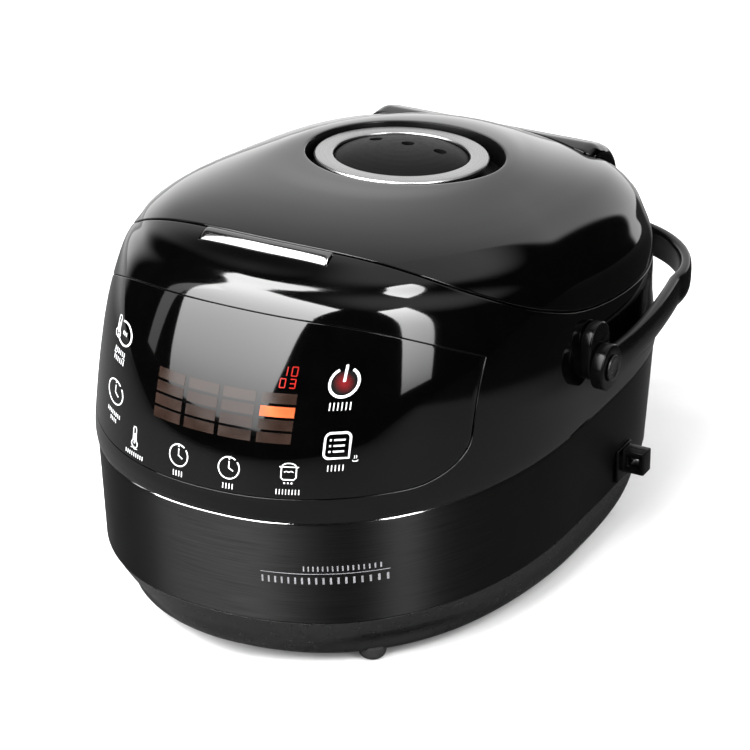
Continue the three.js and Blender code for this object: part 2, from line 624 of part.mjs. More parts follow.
function lidFittings() {
  let plate = rod(0, POT.y, 155.6, 156.8, 113.6, 36);
  for (let i = 0; i < 6; i++) {
    const angle = (i * Math.PI) / 3;
    const hole = rod(5 * Math.cos(angle), VALVE.y + 5 * Math.sin(angle), 150, 160, 1.6, 10);
    plate = plate.subtract(hole);
  }
  part("inner_lid_plate", plate, FINISH.aluminium);
  const seal = [
    [109, 153.2], [112, 152.8], [118.4, 153.4], [118.4, 158.2], [109, 158.2],
    [109, 157.1], [114, 157.1], [114, 155.3], [109, 155.3],
  ];
  part("lid_seal", turned(seal, 0, POT.y, 36), FINISH.silicone);
  const duct = [[8, 161.3], [15, 161.3], [15, 163], [10, 163], [10, 219], [8, 219]];
  part("steam_duct", turned(duct, 0, VALVE.y, 20), FINISH.silicone);
  const striker = [[-111.4, 250], [-103.4, 250], [-103.4, 215], [-112.8, 211], [-112.8, 213.5], [-111.4, 216]];
  part("lid_striker", prism("x", striker, -8, 8).intersect(under(SEAM, 0.8)), FINISH.steel);
}

// Steam valve: a lift-out cup with a metal ring and a vented cap, and the gasket that it seals on.
function steamValve() {
  const { ring, bore } = VALVE;
  const cup = [
    [10.8, -14.4], [13.6, -14.4], [13.6, -9.6], [43, -9.6], [49, -4], [52.3, -3.6],
    [52.3, -2.5], [47, -2.5], [42, -7.8], [10.8, -7.8],
  ];
  part("valve_cup", turned(cup, 0, 0, 32, valveFrame), FINISH.satin);
  const trim = [[bore, -2.2], [ring - 0.6, -2.2], [ring, -1.4], [ring - 1, 0], [bore + 0.8, 0], [bore, -0.8]];
  part("valve_ring", turned(trim, 0, 0, 36, valveFrame), FINISH.silver);
  const dome = [
    [0, 3.4], [14, 3.1], [27, 2], [36, 0.2], [40.8, -2.2], [40.8, -6.8],
    [38.8, -6.8], [38.8, -2.6], [35, -1.4], [26, 0.4], [0, 1.8],
  ];
  let cap = turned(dome, 0, 0, 28, valveFrame);
  for (const x of [-21.7, 0, 21.7]) cap = cap.subtract(rod(x, 7.6, -10, 20, 3.4, 12, valveFrame));
  part("valve_cap", cap, FINISH.gloss);
  part("valve_gasket", pipe(0, 0, -11.7, -9.9, 14, 17.5, 20, valveFrame), FINISH.silicone);
}

// Hinge: pin, two brackets on the housing, two knuckles on the lid and the torsion spring.
function hinge() {
  const { y, z, pin, barrel } = HINGE;
  part("hinge_pin", rodX(-46, 46, y, z, pin, 20), FINISH.steel);
  const bore = rodX(-60, 60, y, z, pin + 0.3, 16);
  const bracket = [
    [y - 4.6, z - 1], [y + 3, z - 4], [y - 5, z - 16], [y - 8, z - 34], [y - 12, z - 34], [y - 12, z - 12],
  ];
  const knuckle = [[y - 4.7, z + 1.4], [y - 2, z + 4.6], [y - 20, z + 16], [y - 24, z + 13], [y - 24, z + 6.6]];
  for (const [side, s] of [["left", -1], ["right", 1]]) {
    const span = (a, b) => (s > 0 ? [a, b] : [-b, -a]);
    const piece = (form, low, high) =>
      rodX(low, high, y, z, barrel, 16).add(prism("x", form, low, high)).subtract(bore);
    part("hinge_bracket_" + side, piece(bracket, ...span(34, 44)), FINISH.steel);
    part("lid_knuckle_" + side, piece(knuckle, ...span(20, 33)), FINISH.steel);
  }
  part("lid_spring", coil([-17, y, z], [1, 0, 0], 34, 4, 6, 0.7), FINISH.steel);
}

base();
feetAndScrews();
band();
housing();
panel();
deck();
pot();
heater();
sensor();
inlet();
electronics();
handleMounts();
carryHandle();
utensilHolder();
latch();
lidShell();
hingeCover();
lidLiner();
lidFittings();
steamValve();
hinge();

const multicooker = new THREE.Group();
multicooker.add(model);
export default multicooker;
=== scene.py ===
"""Looks of the countertop multicooker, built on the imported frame.

Sizes are in millimetres about the body's own centre; at() turns them into metres in the row frame.
"""
import json
import math

import bmesh
import bpy
from mathutils import Matrix, Vector

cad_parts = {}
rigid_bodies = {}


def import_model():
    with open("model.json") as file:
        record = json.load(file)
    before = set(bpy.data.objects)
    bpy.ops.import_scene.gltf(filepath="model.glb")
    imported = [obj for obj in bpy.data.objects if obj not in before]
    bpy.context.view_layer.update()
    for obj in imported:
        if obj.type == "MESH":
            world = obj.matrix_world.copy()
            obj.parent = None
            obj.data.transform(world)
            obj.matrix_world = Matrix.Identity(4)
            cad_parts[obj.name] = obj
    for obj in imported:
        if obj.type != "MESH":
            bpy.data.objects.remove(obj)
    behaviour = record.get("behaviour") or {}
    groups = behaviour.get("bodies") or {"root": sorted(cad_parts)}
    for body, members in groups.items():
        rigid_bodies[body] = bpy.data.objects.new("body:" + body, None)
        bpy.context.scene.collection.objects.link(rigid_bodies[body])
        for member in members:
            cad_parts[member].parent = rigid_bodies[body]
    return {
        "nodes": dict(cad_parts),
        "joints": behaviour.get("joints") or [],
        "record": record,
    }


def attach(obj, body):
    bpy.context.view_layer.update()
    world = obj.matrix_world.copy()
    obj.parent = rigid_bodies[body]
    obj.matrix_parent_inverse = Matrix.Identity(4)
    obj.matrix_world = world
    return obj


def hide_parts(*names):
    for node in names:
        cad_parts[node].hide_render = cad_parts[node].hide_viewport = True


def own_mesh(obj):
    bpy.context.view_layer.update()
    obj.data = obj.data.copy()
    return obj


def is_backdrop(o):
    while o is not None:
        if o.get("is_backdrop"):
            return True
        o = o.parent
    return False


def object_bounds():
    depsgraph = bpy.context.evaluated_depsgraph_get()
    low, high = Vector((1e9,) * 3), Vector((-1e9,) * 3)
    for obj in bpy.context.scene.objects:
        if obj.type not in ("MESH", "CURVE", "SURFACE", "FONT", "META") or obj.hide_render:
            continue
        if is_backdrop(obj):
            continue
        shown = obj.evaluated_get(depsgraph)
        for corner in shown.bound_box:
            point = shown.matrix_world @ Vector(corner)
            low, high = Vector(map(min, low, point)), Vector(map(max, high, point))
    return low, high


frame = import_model()
START_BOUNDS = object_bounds()

# ---- sizes shared with the CAD part ----

SHIFT_Y = -18.17
WALL = 2.8
COLUMNS = 256
BAND_BOTTOM, BAND_TOP = 36.5, 103
PANEL_HALF, PANEL_BOTTOM, PANEL_CORNER, PANEL_GAP = 122.5, 118.2, 20, 0.6
VALVE_Y, VALVE_Z, VALVE_TILT = 42.8, 235, -0.06
RECESS, RECESS_DEPTH, PORT = 60, 12, 15.5
HINGE_Y, HINGE_Z = 192, 158.5
BARREL_RADIUS, BARREL_HALF = 5.7, 47
BRACKET_INNER, BRACKET_OUTER, KNUCKLE_INNER, KNUCKLE_OUTER = 34, 44, 20, 33
INLET_X, INLET_Z, INLET_WIDTH, INLET_HEIGHT = -38, 64, 30, 23
HANDLE_Y, HANDLE_Z, HANDLE_ANGLE = 10, 141, -0.05
ARM, REACH, TAPER, CORNER = 152, 218, 14, (82, 84.5)
STRAP_HALF_THICK, STRAP_HALF_TALL, HUB_RADIUS = 4, 10, 14
LATCH_HALF, LATCH_SWEEP, LATCH_FRONT, LATCH_BACK = 40.5, 298, -128, -119
LATCH_FLOOR, LATCH_CROWN, LATCH_GAP = 226.6, 1.35, 0.7
RECESS_SHIFT = (4, -3)
PLATE_Y, PLATE_Z, PLATE_WIDTH, PLATE_HEIGHT = HANDLE_Y + 2, HANDLE_Z + 8, 27, 35
POT_Y, POT_RADIUS, POT_BOTTOM, POT_RIM, POT_CORNER = 25, 112, 32, 150.4, 16
SCREWS = ((-62, -118), (62, -118), (-70, 138), (70, 138))
FEET = (
    ("front_left", -72, -128), ("front_right", 75, -135),
    ("rear_left", -82, 140), ("rear_right", 82, 140),
)

# Body outlines from the band up: front y, z; back y, z; half width; widest y; roundness before, behind.
SECTIONS = (
    (-193.5, 103, 194.5, 103, 142, 0, 2.24, 3.6),
    (-195, 108, 195, 108, 143.2, 0, 2.2, 3.5),
    (-195.5, 118.2, 195, 118, 143.3, 0, 2.16, 3.35),
    (-189.5, 150, 195, 134.5, 141.5, 0, 2.16, 3.3),
    (-177.5, 184.5, 193.5, 150.5, 139.3, 0, 2.16, 3.5),
    (-160.5, 214.7, 191.5, 164, 134.6, 2, 2.16, 3.85),
    (-147, 226, 188.5, 176.5, 127.6, 4, 2.2, 4.1),
    (-135.5, 232.2, 184, 189.5, 120, 7, 2.4, 4.3),
    (-121, 239.2, 178, 201, 108.6, 11, 2.43, 4.1),
    (-104, 243, 169, 209, 97.2, 17, 2.36, 3.35),
    (-82, 244.6, 156, 217, 85, 24, 2.26, 2.6),
    (-56, 244.2, 140, 225, 73.6, 31, 2.16, 2.1),
    (-30, 242.4, 120, 231, 63.7, 38, 2.08, 2),
    (-8, 240.8, 96, 234.3, 49.9, 42.8, 2, 2),
    (22, 239.2, 64, 236.2, 21, 42.8, 2, 2),
)
PROFILES = tuple(zip(*SECTIONS))

# Level outlines of the base: height, reach to front and back, half width, roundness before, behind.
BASE = (
    (5.6, 158, 168, 115, 2.2, 2.9),
    (6.6, 168, 180, 126, 2.25, 3),
    (14.5, 180, 184.5, 136, 1.85, 3),
    (24.5, 183, 189, 136, 2.1, 3.4),
    (36.2, 187.5, 190, 139, 2.26, 3.5),
)
BAND_LOWER = BASE[4][1:]
BAND_UPPER = (192.5, 193.8, 140.5, 2.26, 3.7)

# Side-view curves, y and z from front to back: the shut line, and the panel's top edge.
SEAM = (
    (-260, 268), (-160, 248), (-128, 241), (-120, 239.5), (-111, 235), (-91, 220), (-60, 201.5),
    (-28, 187), (8, 174.5), (52, 165.5), (104, 159.6), (150, 157.4), (200, 157), (260, 157),
)
PANEL_TOP = (
    (-230, 232), (-190, 224), (-160, 214.7), (-146, 210.2), (-130, 203), (-98.5, 186.5), (-60, 166),
)


# ---- shape helpers ----

def at(x, y, z):
    """A body-centred point in millimetres, in metres in the row frame."""
    return Vector((x, y + SHIFT_Y, z)) * 0.001


def mix(a, b, t):
    """The value a share t of the way from a to b."""
    return a + (b - a) * t


def smooth(values, u):
    """A smooth curve through values at whole numbers, read at u."""
    last = len(values) - 1
    i = min(int(u), last - 1)
    t = u - i
    a, b, c, d = (values[min(max(n, 0), last)] for n in (i - 1, i, i + 1, i + 2))
    return b + 0.5 * t * (c - a + t * (2 * a - 5 * b + 4 * c - d + t * (3 * (b - c) + d - a)))


def spline(points, steps=24):
    """A smooth polyline through 2-D points."""
    firsts, seconds = zip(*points)
    count = (len(points) - 1) * steps
    return [(smooth(firsts, n / steps), smooth(seconds, n / steps)) for n in range(count + 1)]


SEAM_LINE = spline(SEAM)


def height(line, y):
    """The z of a dense side-view polyline at y."""
    for (y0, z0), (y1, z1) in zip(line, line[1:]):
        if y <= y1:
            return mix(z0, z1, (y - y0) / (y1 - y0))
    return line[-1][1]


def seam_height(y):
    return height(SEAM_LINE, y)


def oval(angle, power):
    """A superellipse of half widths 1, read by direction."""
    c, s = math.cos(angle), math.sin(angle)
    r = (abs(c) ** power + abs(s) ** power) ** (-1 / power)
    return r * c, r * s


def skin(u, angle):
    """The body's skin at section number u, in a direction seen from above."""
    front, front_z, back, back_z, half, widest, before, behind = (smooth(p, u) for p in PROFILES)
    x, s = oval(angle, before if math.sin(angle) < 0 else behind)
    y = widest + s * (widest - front if s < 0 else back - widest)
    return Vector((half * x, y, mix(front_z, back_z, (y - front) / (back - front))))


def skin_normal(u, angle):
    """The skin's outward direction."""
    around = skin(u, angle + 0.01) - skin(u, angle - 0.01)
    up = skin(min(u + 0.02, 14), angle) - skin(max(u - 0.02, 0), angle)
    return around.cross(up).normalized()


def lining(u, angle):
    """The inner face of a wall, square to the skin."""
    return skin(u, angle) - skin_normal(u, angle) * WALL


def front_point(x, u):
    """The skin's front half at a given x, on section number u."""
    front, front_z, back, back_z, half, widest, before, _ = (smooth(p, u) for p in PROFILES)
    y = widest - (widest - front) * max(0, 1 - abs(x / half) ** before) ** (1 / before)
    return Vector((x, y, mix(front_z, back_z, (y - front) / (back - front))))


def front_skin(x, z):
    """The front wall's skin at a given x and z."""
    return front_point(x, solve(lambda u: front_point(x, u).z - z, 0, 9))


def top_skin(x, y):
    """The skin's height at x and y on the front bevel."""
    return front_point(x, solve(lambda u: front_point(x, u).y - y, 4, 10)).z


def solve(error, low, high):
    """Where a rising function crosses zero."""
    for _ in range(26):
        middle = (low + high) / 2
        if error(middle) < 0:
            low = middle
        else:
            high = middle
    return (low + high) / 2


def around(count):
    """The turns of a full circle in equal steps."""
    return [2 * math.pi * j / count for j in range(count)]


def linked(name, data):
    """A new object in the scene."""
    obj = bpy.data.objects.new(name, data)
    bpy.context.scene.collection.objects.link(obj)
    return obj


def make(name, points, faces, sharp=32):
    """A mesh object from body-centred points, smooth except across edges sharper than an angle."""
    mesh = bpy.data.meshes.new(name)
    mesh.from_pydata([at(*p) for p in points], [], faces)
    return shade(linked(name, mesh), sharp)


def smoothed(obj, sharp=32):
    """Smooth shading, except across edges sharper than an angle."""
    obj.data.polygons.foreach_set("use_smooth", [True] * len(obj.data.polygons))
    obj.data.set_sharp_from_angle(angle=math.radians(sharp))
    return obj


def applied(obj):
    """An object with its modifiers made part of its mesh."""
    graph = bpy.context.evaluated_depsgraph_get()
    obj.data = bpy.data.meshes.new_from_object(obj.evaluated_get(graph))
    obj.modifiers.clear()
    return obj


def shade(obj, sharp=32):
    """Turns an object's faces outwards and shades it."""
    body = bmesh.new()
    body.from_mesh(obj.data)
    bmesh.ops.recalc_face_normals(body, faces=body.faces)
    body.to_mesh(obj.data)
    body.free()
    return smoothed(obj, sharp)


def loft(name, rings, loop=False, caps=False):
    """A skin over closed rings; one point closes it, loop joins last to first, caps are flat ends."""
    points, starts, faces = [], [], []
    for ring in rings:
        starts.append(len(points))
        points.extend(ring)
    if caps:
        faces = [list(range(starts[1])), list(range(starts[-1], len(points)))]
    pairs = [(k, k + 1) for k in range(len(rings) - 1)] + ([(len(rings) - 1, 0)] if loop else [])
    for k, m in pairs:
        a, b = starts[k], starts[m]
        count = max(len(rings[k]), len(rings[m]))
        for j in range(count):
            n = (j + 1) % count
            corners = [a + j, a + n] if len(rings[k]) > 1 else [a]
            corners += [b + n, b + j] if len(rings[m]) > 1 else [b]
            faces.append(corners)
    return make(name, points, faces)


def rounded(outline, radius, steps=4, closed=True):
    """A polyline with its corners rounded."""
    count = len(outline)
    result = []
    for i, corner in enumerate(outline):
        if not closed and i in (0, count - 1):
            result.append(tuple(corner))
            continue
        p = Vector(corner)
        before, after = Vector(outline[i - 1]) - p, Vector(outline[(i + 1) % count]) - p
        reach = min(radius, 0.45 * before.length, 0.45 * after.length)
        a, b = p + before.normalized() * reach, p + after.normalized() * reach
        for n in range(steps + 1):
            t = n / steps
            result.append(tuple(a * (1 - t) ** 2 + p * 2 * t * (1 - t) + b * t * t))
    return result


def inset(outline, distance):
    """A closed 2-D outline moved inwards."""
    area = sum(a[0] * b[1] - b[0] * a[1] for a, b in zip(outline, outline[1:] + outline[:1]))
    side = 1 if area > 0 else -1
    result = []
    for i, p in enumerate(outline):
        a, b = Vector(outline[i - 1]), Vector(outline[(i + 1) % len(outline)])
        along = (b - a).normalized()
        result.append((p[0] - side * along.y * distance, p[1] + side * along.x * distance))
    return result


def placed(axis, p, q, level):
    """A point of an outline extruded along an axis."""
    return {"x": (level, p, q), "y": (p, level, q), "z": (p, q, level)}[axis]


def prism(name, axis, outline, low, high, edge=0.0):
    """An outline extruded along an axis, with rounded ends."""
    outline = list(outline)
    steps = 5 if edge else 1
    turn = [n / steps * math.pi / 2 for n in range(steps + 1)] if edge else [math.pi / 2]
    ends = [(edge * (1 - math.cos(a)), edge * (1 - math.sin(a))) for a in turn]
    levels = [(low + depth, margin) for depth, margin in ends]
    levels += [(high - depth, margin) for depth, margin in reversed(ends)]
    rings = [[placed(axis, p, q, place) for p, q in inset(outline, margin)] for place, margin in levels]
    return loft(name, rings, caps=True)


def rectangle(a, b, width, height_, radius, steps=10):
    """A rectangle with round corners, centred on (a, b)."""
    w, h = width / 2 - radius, height_ / 2 - radius
    points = []
    for (sx, sy), start in (((1, 1), 0), ((-1, 1), 90), ((-1, -1), 180), ((1, -1), 270)):
        for n in range(steps + 1):
            angle = math.radians(start + 90 * n / steps)
            points.append((a + sx * w + radius * math.cos(angle), b + sy * h + radius * math.sin(angle)))
    return points


def lathe(name, profile, axis, segments=128):
    """A piece turned about a frame's Z axis from (radius, height) points; closed on itself off the axis."""
    rings = []
    for r, z in profile:
        angles = [0] if r == 0 else around(segments)
        rings.append([axis @ Vector((r * math.cos(a), r * math.sin(a), z)) for a in angles])
    return loft(name, rings, loop=profile[0][0] != 0)


def rod(radius, low, high):
    """The profile of a plain cylinder."""
    return [(0, low), (radius, low), (radius, high), (0, high)]


def upright(x, y, z=0):
    """A frame whose axes are the body's own."""
    return Matrix.Translation((x, y, z))


def sideways(x, y, z):
    """A frame whose Z axis points along X."""
    return upright(x, y, z) @ Matrix.Rotation(math.pi / 2, 4, "Y")


VALVE_FRAME = upright(0, VALVE_Y, VALVE_Z) @ Matrix.Rotation(VALVE_TILT, 4, "X")


def combine(name, pieces):
    """Several objects as one."""
    body = bmesh.new()
    for piece in pieces:
        body.from_mesh(piece.data)
    body.to_mesh(pieces[0].data)
    body.free()
    for piece in pieces[1:]:
        bpy.data.objects.remove(piece)
    pieces[0].name = name
    return shade(pieces[0])


def cut(obj, *cutters, operation="DIFFERENCE", solver="EXACT"):
    """An object after a boolean with each cutter, which is used up."""
    for cutter in cutters:
        step = obj.modifiers.new("cut", "BOOLEAN")
        step.operation = operation
        step.solver = solver
        step.object = cutter
        applied(obj)
        bpy.data.objects.remove(cutter)
        smoothed(obj)
    return obj


def under(line, rise, low=-60):
    """A cutter for everything under a side-view curve."""
    outline = [(line[0][0], low)] + [(y, z + rise) for y, z in line] + [(line[-1][0], low)]
    return prism("under", "x", outline, -220, 220)


def softened(node, width=0.4):
    """A copy of a CAD node's shape with rounded edges."""
    source = frame["nodes"][node]
    obj = linked(node + "_form", source.data.copy())
    body = bmesh.new()
    body.from_mesh(obj.data)
    bmesh.ops.remove_doubles(body, verts=body.verts, dist=1e-6)
    bmesh.ops.dissolve_limit(body, angle_limit=math.radians(1), verts=body.verts, edges=body.edges)
    body.to_mesh(obj.data)
    body.free()
    rim = obj.modifiers.new("rim", "BEVEL")
    rim.width = width * 0.001
    rim.segments = 3
    rim.limit_method = "ANGLE"
    rim.angle_limit = math.radians(35)
    return shade(applied(obj))


# ---- materials ----

class Graph:
    """A small builder for a node tree; its values are sockets or plain numbers."""

    def __init__(self, tree):
        self.tree = tree

    def add(self, kind, **settings):
        node = self.tree.nodes.new(kind)
        for key, value in settings.items():
            setattr(node, key, value)
        return node

    def feed(self, target, value):
        """Links a socket to an input, or sets a value on it."""
        if isinstance(value, bpy.types.NodeSocket):
            self.tree.links.new(value, target)
        else:
            target.default_value = value

    def calc(self, operation, *values):
        node = self.add("ShaderNodeMath", operation=operation)
        for target, value in zip(node.inputs, values):
            self.feed(target, value)
        return node.outputs[0]

    def ramp(self, value, low, high, start=0.0, end=1.0, shape="LINEAR"):
        """Runs from start to end while a value runs from low to high."""
        node = self.add("ShaderNodeMapRange", interpolation_type=shape)
        names = ("Value", "From Min", "From Max", "To Min", "To Max")
        for key, number in zip(names, (value, low, high, start, end)):
            self.feed(node.inputs[key], number)
        return node.outputs[0]

    def measure(self, operation, place, vector):
        """A place's distance from a point, or its reach in a direction."""
        node = self.add("ShaderNodeVectorMath", operation=operation)
        self.feed(node.inputs[0], place)
        self.feed(node.inputs[1], vector)
        return node.outputs["Value"]

    def along(self, place, way, low, high):
        """Rises smoothly from 0 to 1 between two distances in a direction."""
        return self.ramp(self.measure("DOT_PRODUCT", place, way), low, high, shape="SMOOTHSTEP")


class Nodes(Graph):
    """A material with one surface, and the patterns that the finishes share."""

    def __init__(self, name):
        self.material = bpy.data.materials.new(name)
        self.material.use_nodes = True
        super().__init__(self.material.node_tree)
        self.tree.nodes.clear()
        self.surface = self.add("ShaderNodeBsdfPrincipled")
        self.feed(self.add("ShaderNodeOutputMaterial").inputs[0], self.surface.outputs[0])
        self.place = self.add("ShaderNodeTexCoord").outputs["Object"]

    def dress(self, **values):
        """Feeds the surface's inputs by name."""
        for key, value in values.items():
            self.feed(self.surface.inputs[key.replace("_", " ")], value)

    def noise(self, scale, stretch=(1, 1, 1), detail=3.0):
        mapping = self.add("ShaderNodeMapping")
        self.feed(mapping.inputs["Scale"], stretch)
        self.feed(mapping.inputs["Vector"], self.place)
        texture = self.add("ShaderNodeTexNoise")
        self.feed(texture.inputs["Scale"], scale)
        self.feed(texture.inputs["Detail"], detail)
        self.feed(texture.inputs["Vector"], mapping.outputs[0])
        return texture.outputs[0]

    def between(self, factor, low, high):
        """A value that runs from low to high with a factor's middle range."""
        return self.ramp(factor, 0.3, 0.7, low, high)

    def blend(self, factor, low, high):
        """One colour turning into another."""
        node = self.add("ShaderNodeMix", data_type="RGBA")
        self.feed(node.inputs[0], factor)
        self.feed(node.inputs[6], low)
        self.feed(node.inputs[7], high)
        return node.outputs[2]

    def colours(self, factor, low, high):
        """Two colours, each three values or a grey, mixed by a factor's middle range."""
        low, high = (grey(c) if isinstance(c, float) else c for c in (low, high))
        return self.blend(self.between(factor, 0, 1), (*low, 1), (*high, 1))

    def bump(self, factor, strength, depth, edge=0.0):
        node = self.add("ShaderNodeBump")
        self.feed(node.inputs["Strength"], strength)
        self.feed(node.inputs["Distance"], depth)
        self.feed(node.inputs["Height"], factor)
        if edge:
            bevel = self.add("ShaderNodeBevel", samples=6)
            self.feed(bevel.inputs["Radius"], edge)
            self.feed(node.inputs["Normal"], bevel.outputs[0])
        self.dress(Normal=node.outputs[0])


def grey(value):
    return (value, value, value)


def finish(name, low, high, rough, metallic, grain, stretch=(1, 1, 1), edge=0.0, **fixed):
    """A material whose colour and roughness vary between two values over a fine grain."""
    graph = Nodes(name)
    scale, strength, depth = grain
    factor = graph.noise(scale, stretch)
    coarse = graph.noise(scale * 0.3, stretch)
    graph.dress(Base_Color=graph.colours(factor, low, high), Roughness=graph.between(coarse, *rough))
    graph.dress(Metallic=metallic, **fixed)
    graph.bump(factor, strength, depth, edge)
    return graph.material


def brushed_band():
    """Dark steel brushed round the body, which draws lights out into upright streaks."""
    graph = Nodes("dark_band")
    streak = graph.noise(30, (1, 1, 110), 5)
    cloud = graph.noise(9, (1, 1, 0.4), 2)
    tone = graph.calc("MULTIPLY", streak, graph.between(cloud, 0.85, 1.15))
    tangent = graph.add("ShaderNodeTangent", direction_type="RADIAL", axis="Z")
    graph.dress(Base_Color=graph.colours(tone, 0.02, 0.034), Roughness=graph.between(streak, 0.44, 0.52))
    graph.dress(Metallic=1, Anisotropic=0.95, Anisotropic_Rotation=0.25, Tangent=tangent.outputs[0])
    graph.bump(streak, 0.12, 0.00005, 0.0004)
    return graph.material


def turned_silver():
    """Silver trim with fine turning lines round the valve."""
    graph = Nodes("silver_ring")
    noise = graph.add("ShaderNodeTexNoise", noise_dimensions="1D")
    graph.feed(noise.inputs["Scale"], 2600)
    graph.feed(noise.inputs["W"], graph.measure("DISTANCE", graph.place, at(0, VALVE_Y, VALVE_Z)))
    lines = noise.outputs[0]
    graph.dress(Base_Color=graph.colours(lines, 0.34, 0.5), Roughness=graph.between(lines, 0.24, 0.36))
    graph.dress(Metallic=1)
    graph.bump(lines, 0.15, 0.00005)
    return graph.material


def lamp_and_painted_glow(name, colour, strength, dim=0.35):
    """An even glow with a slight unevenness: a lamp's own light, and on print a painted glow with no lamp
    behind it.
    """
    graph = Nodes(name)
    factor = graph.noise(90)
    graph.dress(Base_Color=graph.colours(factor, [c * 0.6 for c in colour], colour))
    graph.dress(Emission_Color=graph.colours(factor, [c * (1 - dim) for c in colour], colour))
    graph.dress(Emission_Strength=strength, Roughness=graph.between(factor, 0.12, 0.2))
    graph.bump(factor, 0.03, 0.00002)
    return graph.material


def glow(name, centre, radius):
    """A red backlight that fades from its centre."""
    graph = Nodes(name)
    fade = graph.ramp(graph.measure("DISTANCE", graph.place, centre), 0, radius, 1, 0, "SMOOTHSTEP")
    graph.dress(Emission_Color=graph.blend(fade, (0.004, 0.003, 0.003, 1), (0.5, 0.008, 0.014, 1)))
    factor = graph.noise(500)
    graph.dress(Base_Color=graph.colours(factor, 0.004, 0.006), Emission_Strength=0.75)
    graph.dress(Roughness=graph.between(factor, 0.08, 0.12))
    graph.bump(factor, 0.02, 0.00002)
    return graph.material


PLASTIC = (60, 0.03, 0.00002)

# Two colours, roughness range, metallic, grain (scale, bump strength, bump depth in metres), other inputs.
PLAIN_FINISHES = {
    "gloss_black": (0.0003, 0.0005, (0.05, 0.07), 0, PLASTIC, {"edge": 0.0006, "IOR": 1.5}),
    "panel_black": (0.0003, 0.0005, (0.04, 0.055), 0, PLASTIC, {"edge": 0.0005, "IOR": 1.5}),
    "satin_black": (0.003, 0.0045, (0.26, 0.34), 0, (900, 0.12, 0.00004), {"edge": 0.0005}),
    "cap_black": (0.003, 0.0045, (0.36, 0.44), 0, (1400, 0.15, 0.00004),
                  {"edge": 0.0005, "Specular_IOR_Level": 0.03}),
    "well_black": (0.0008, 0.0012, (0.3, 0.4), 0, (700, 0.1, 0.00003),
                   {"edge": 0.0005, "Specular_IOR_Level": 0.12}),
    "handle_black": (0.001, 0.0016, (0.14, 0.2), 0, (700, 0.05, 0.00003),
                     {"edge": 0.0004, "Specular_IOR_Level": 0.15}),
    "silver_trim": (0.2, 0.24, (0.1, 0.15), 1, (40, 0.08, 0.00002), {"edge": 0.0004, "stretch": (1, 30, 30)}),
    "bright_edge": (0.5, 0.58, (0.07, 0.11), 1, (200, 0.05, 0.00002), {}),
    "steel": (0.5, 0.62, (0.22, 0.34), 1, (120, 0.1, 0.00005), {}),
    "aluminium": (0.6, 0.7, (0.34, 0.46), 1, (500, 0.12, 0.00005), {}),
    "pot_coating": (0.012, 0.028, (0.32, 0.42), 0, (900, 0.2, 0.00005), {}),
    "silicone": (0.55, 0.62, (0.5, 0.62), 0, (260, 0.1, 0.00005), {}),
    "rubber": (0.008, 0.014, (0.7, 0.85), 0, (900, 0.3, 0.0001), {}),
    "board_green": ((0.01, 0.09, 0.03), (0.014, 0.12, 0.04), (0.35, 0.5), 0, (200, 0.2, 0.0001), {}),
    "matte_black": (0.01, 0.018, (0.6, 0.75), 0, (700, 0.2, 0.0001), {}),
    "display_glass": ((0.03, 0.01, 0.006), (0.04, 0.014, 0.008), (0.08, 0.12), 0, (90, 0.03, 0.00002), {}),
    "copper": ((0.5, 0.2, 0.09), (0.6, 0.26, 0.12), (0.25, 0.4), 1, (300, 0.1, 0.00005), {}),
    "cable_red": ((0.25, 0.01, 0.01), (0.34, 0.016, 0.014), (0.4, 0.55), 0, (500, 0.1, 0.00005), {}),
}
# The colour, glow strength and share of unevenness of each lamp and print; on the print the glow is painted
# light.
LAMPS_AND_PAINTED_GLOWS = {
    # The white panel print and the grey band print glow though no lamp lights them: painted light.
    "print_white": ((0.72, 0.73, 0.74), 0.16, 0.1),
    "print_grey": ((0.2, 0.2, 0.21), 0.05, 0.1),
    "lamp_red": ((0.25, 0.01, 0.007), 0.16),
    "lamp_orange": ((0.4, 0.08, 0.025), 0.4, 0.15),
    "lamp_dim": ((0.016, 0.009, 0.0065), 0.3, 0.12),
}
FINISHES = {name: finish(name, *row[:-1], **row[-1]) for name, row in PLAIN_FINISHES.items()}
FINISHES.update({name: lamp_and_painted_glow(name, *row) for name, row in LAMPS_AND_PAINTED_GLOWS.items()})
FINISHES.update({"dark_band": brushed_band(), "silver_ring": turned_silver()})


def wear(obj, body, material, slot, *nodes):
    """Gives a piece its material, body and the CAD nodes that it stands for; its record slot is not used."""
    obj.data.materials.clear()
    obj.data.materials.append(FINISHES[material])
    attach(obj, body)
    if nodes:
        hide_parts(*nodes)
    return obj


# ---- body shells ----

ANGLES = [2 * math.pi * (j + 0.5) / COLUMNS for j in range(COLUMNS)]


def seam_number(angle, rise):
    """The section number at which a column of the skin meets the shut line, raised by a distance."""
    def error(u):
        p = skin(u, angle)
        return p.z - seam_height(p.y) - rise
    return solve(error, 1, 10)


def edge_points(u, angle, up):
    """Points that round a wall's free edge from skin to lining; up is 1 if the wall ends upwards."""
    base, normal = skin(u, angle), skin_normal(u, angle)
    along = (skin(u + 0.02, angle) - skin(u - 0.02, angle)).normalized() * up
    steps = ((0.75, 0), (0.3, 0.12), (0.06, 0.4), (0, 0.8), (0, WALL - 0.5), (0.5, WALL))
    return [base - along * back - normal * depth for back, depth in steps]


def columns_to_rings(columns):
    return [list(ring) for ring in zip(*columns)]


def housing_wall():
    """The housing from the band to the shut line, before its openings."""
    columns = []
    for angle in ANGLES:
        top = seam_number(angle, 0)
        inner = [lining(mix(top - 0.2, 0.3, n / 16), angle) for n in range(17)]
        outer = [skin(mix(0, top - 0.09, n / 64), angle) for n in range(65)]
        foot = [Vector((*inner[-1].xy, BAND_TOP)), Vector((*outer[0].xy, BAND_TOP + 0.4))]
        columns.append(foot + outer[1:] + edge_points(top, angle, 1) + inner)
    return loft("housing_wall", columns_to_rings(columns), loop=True)


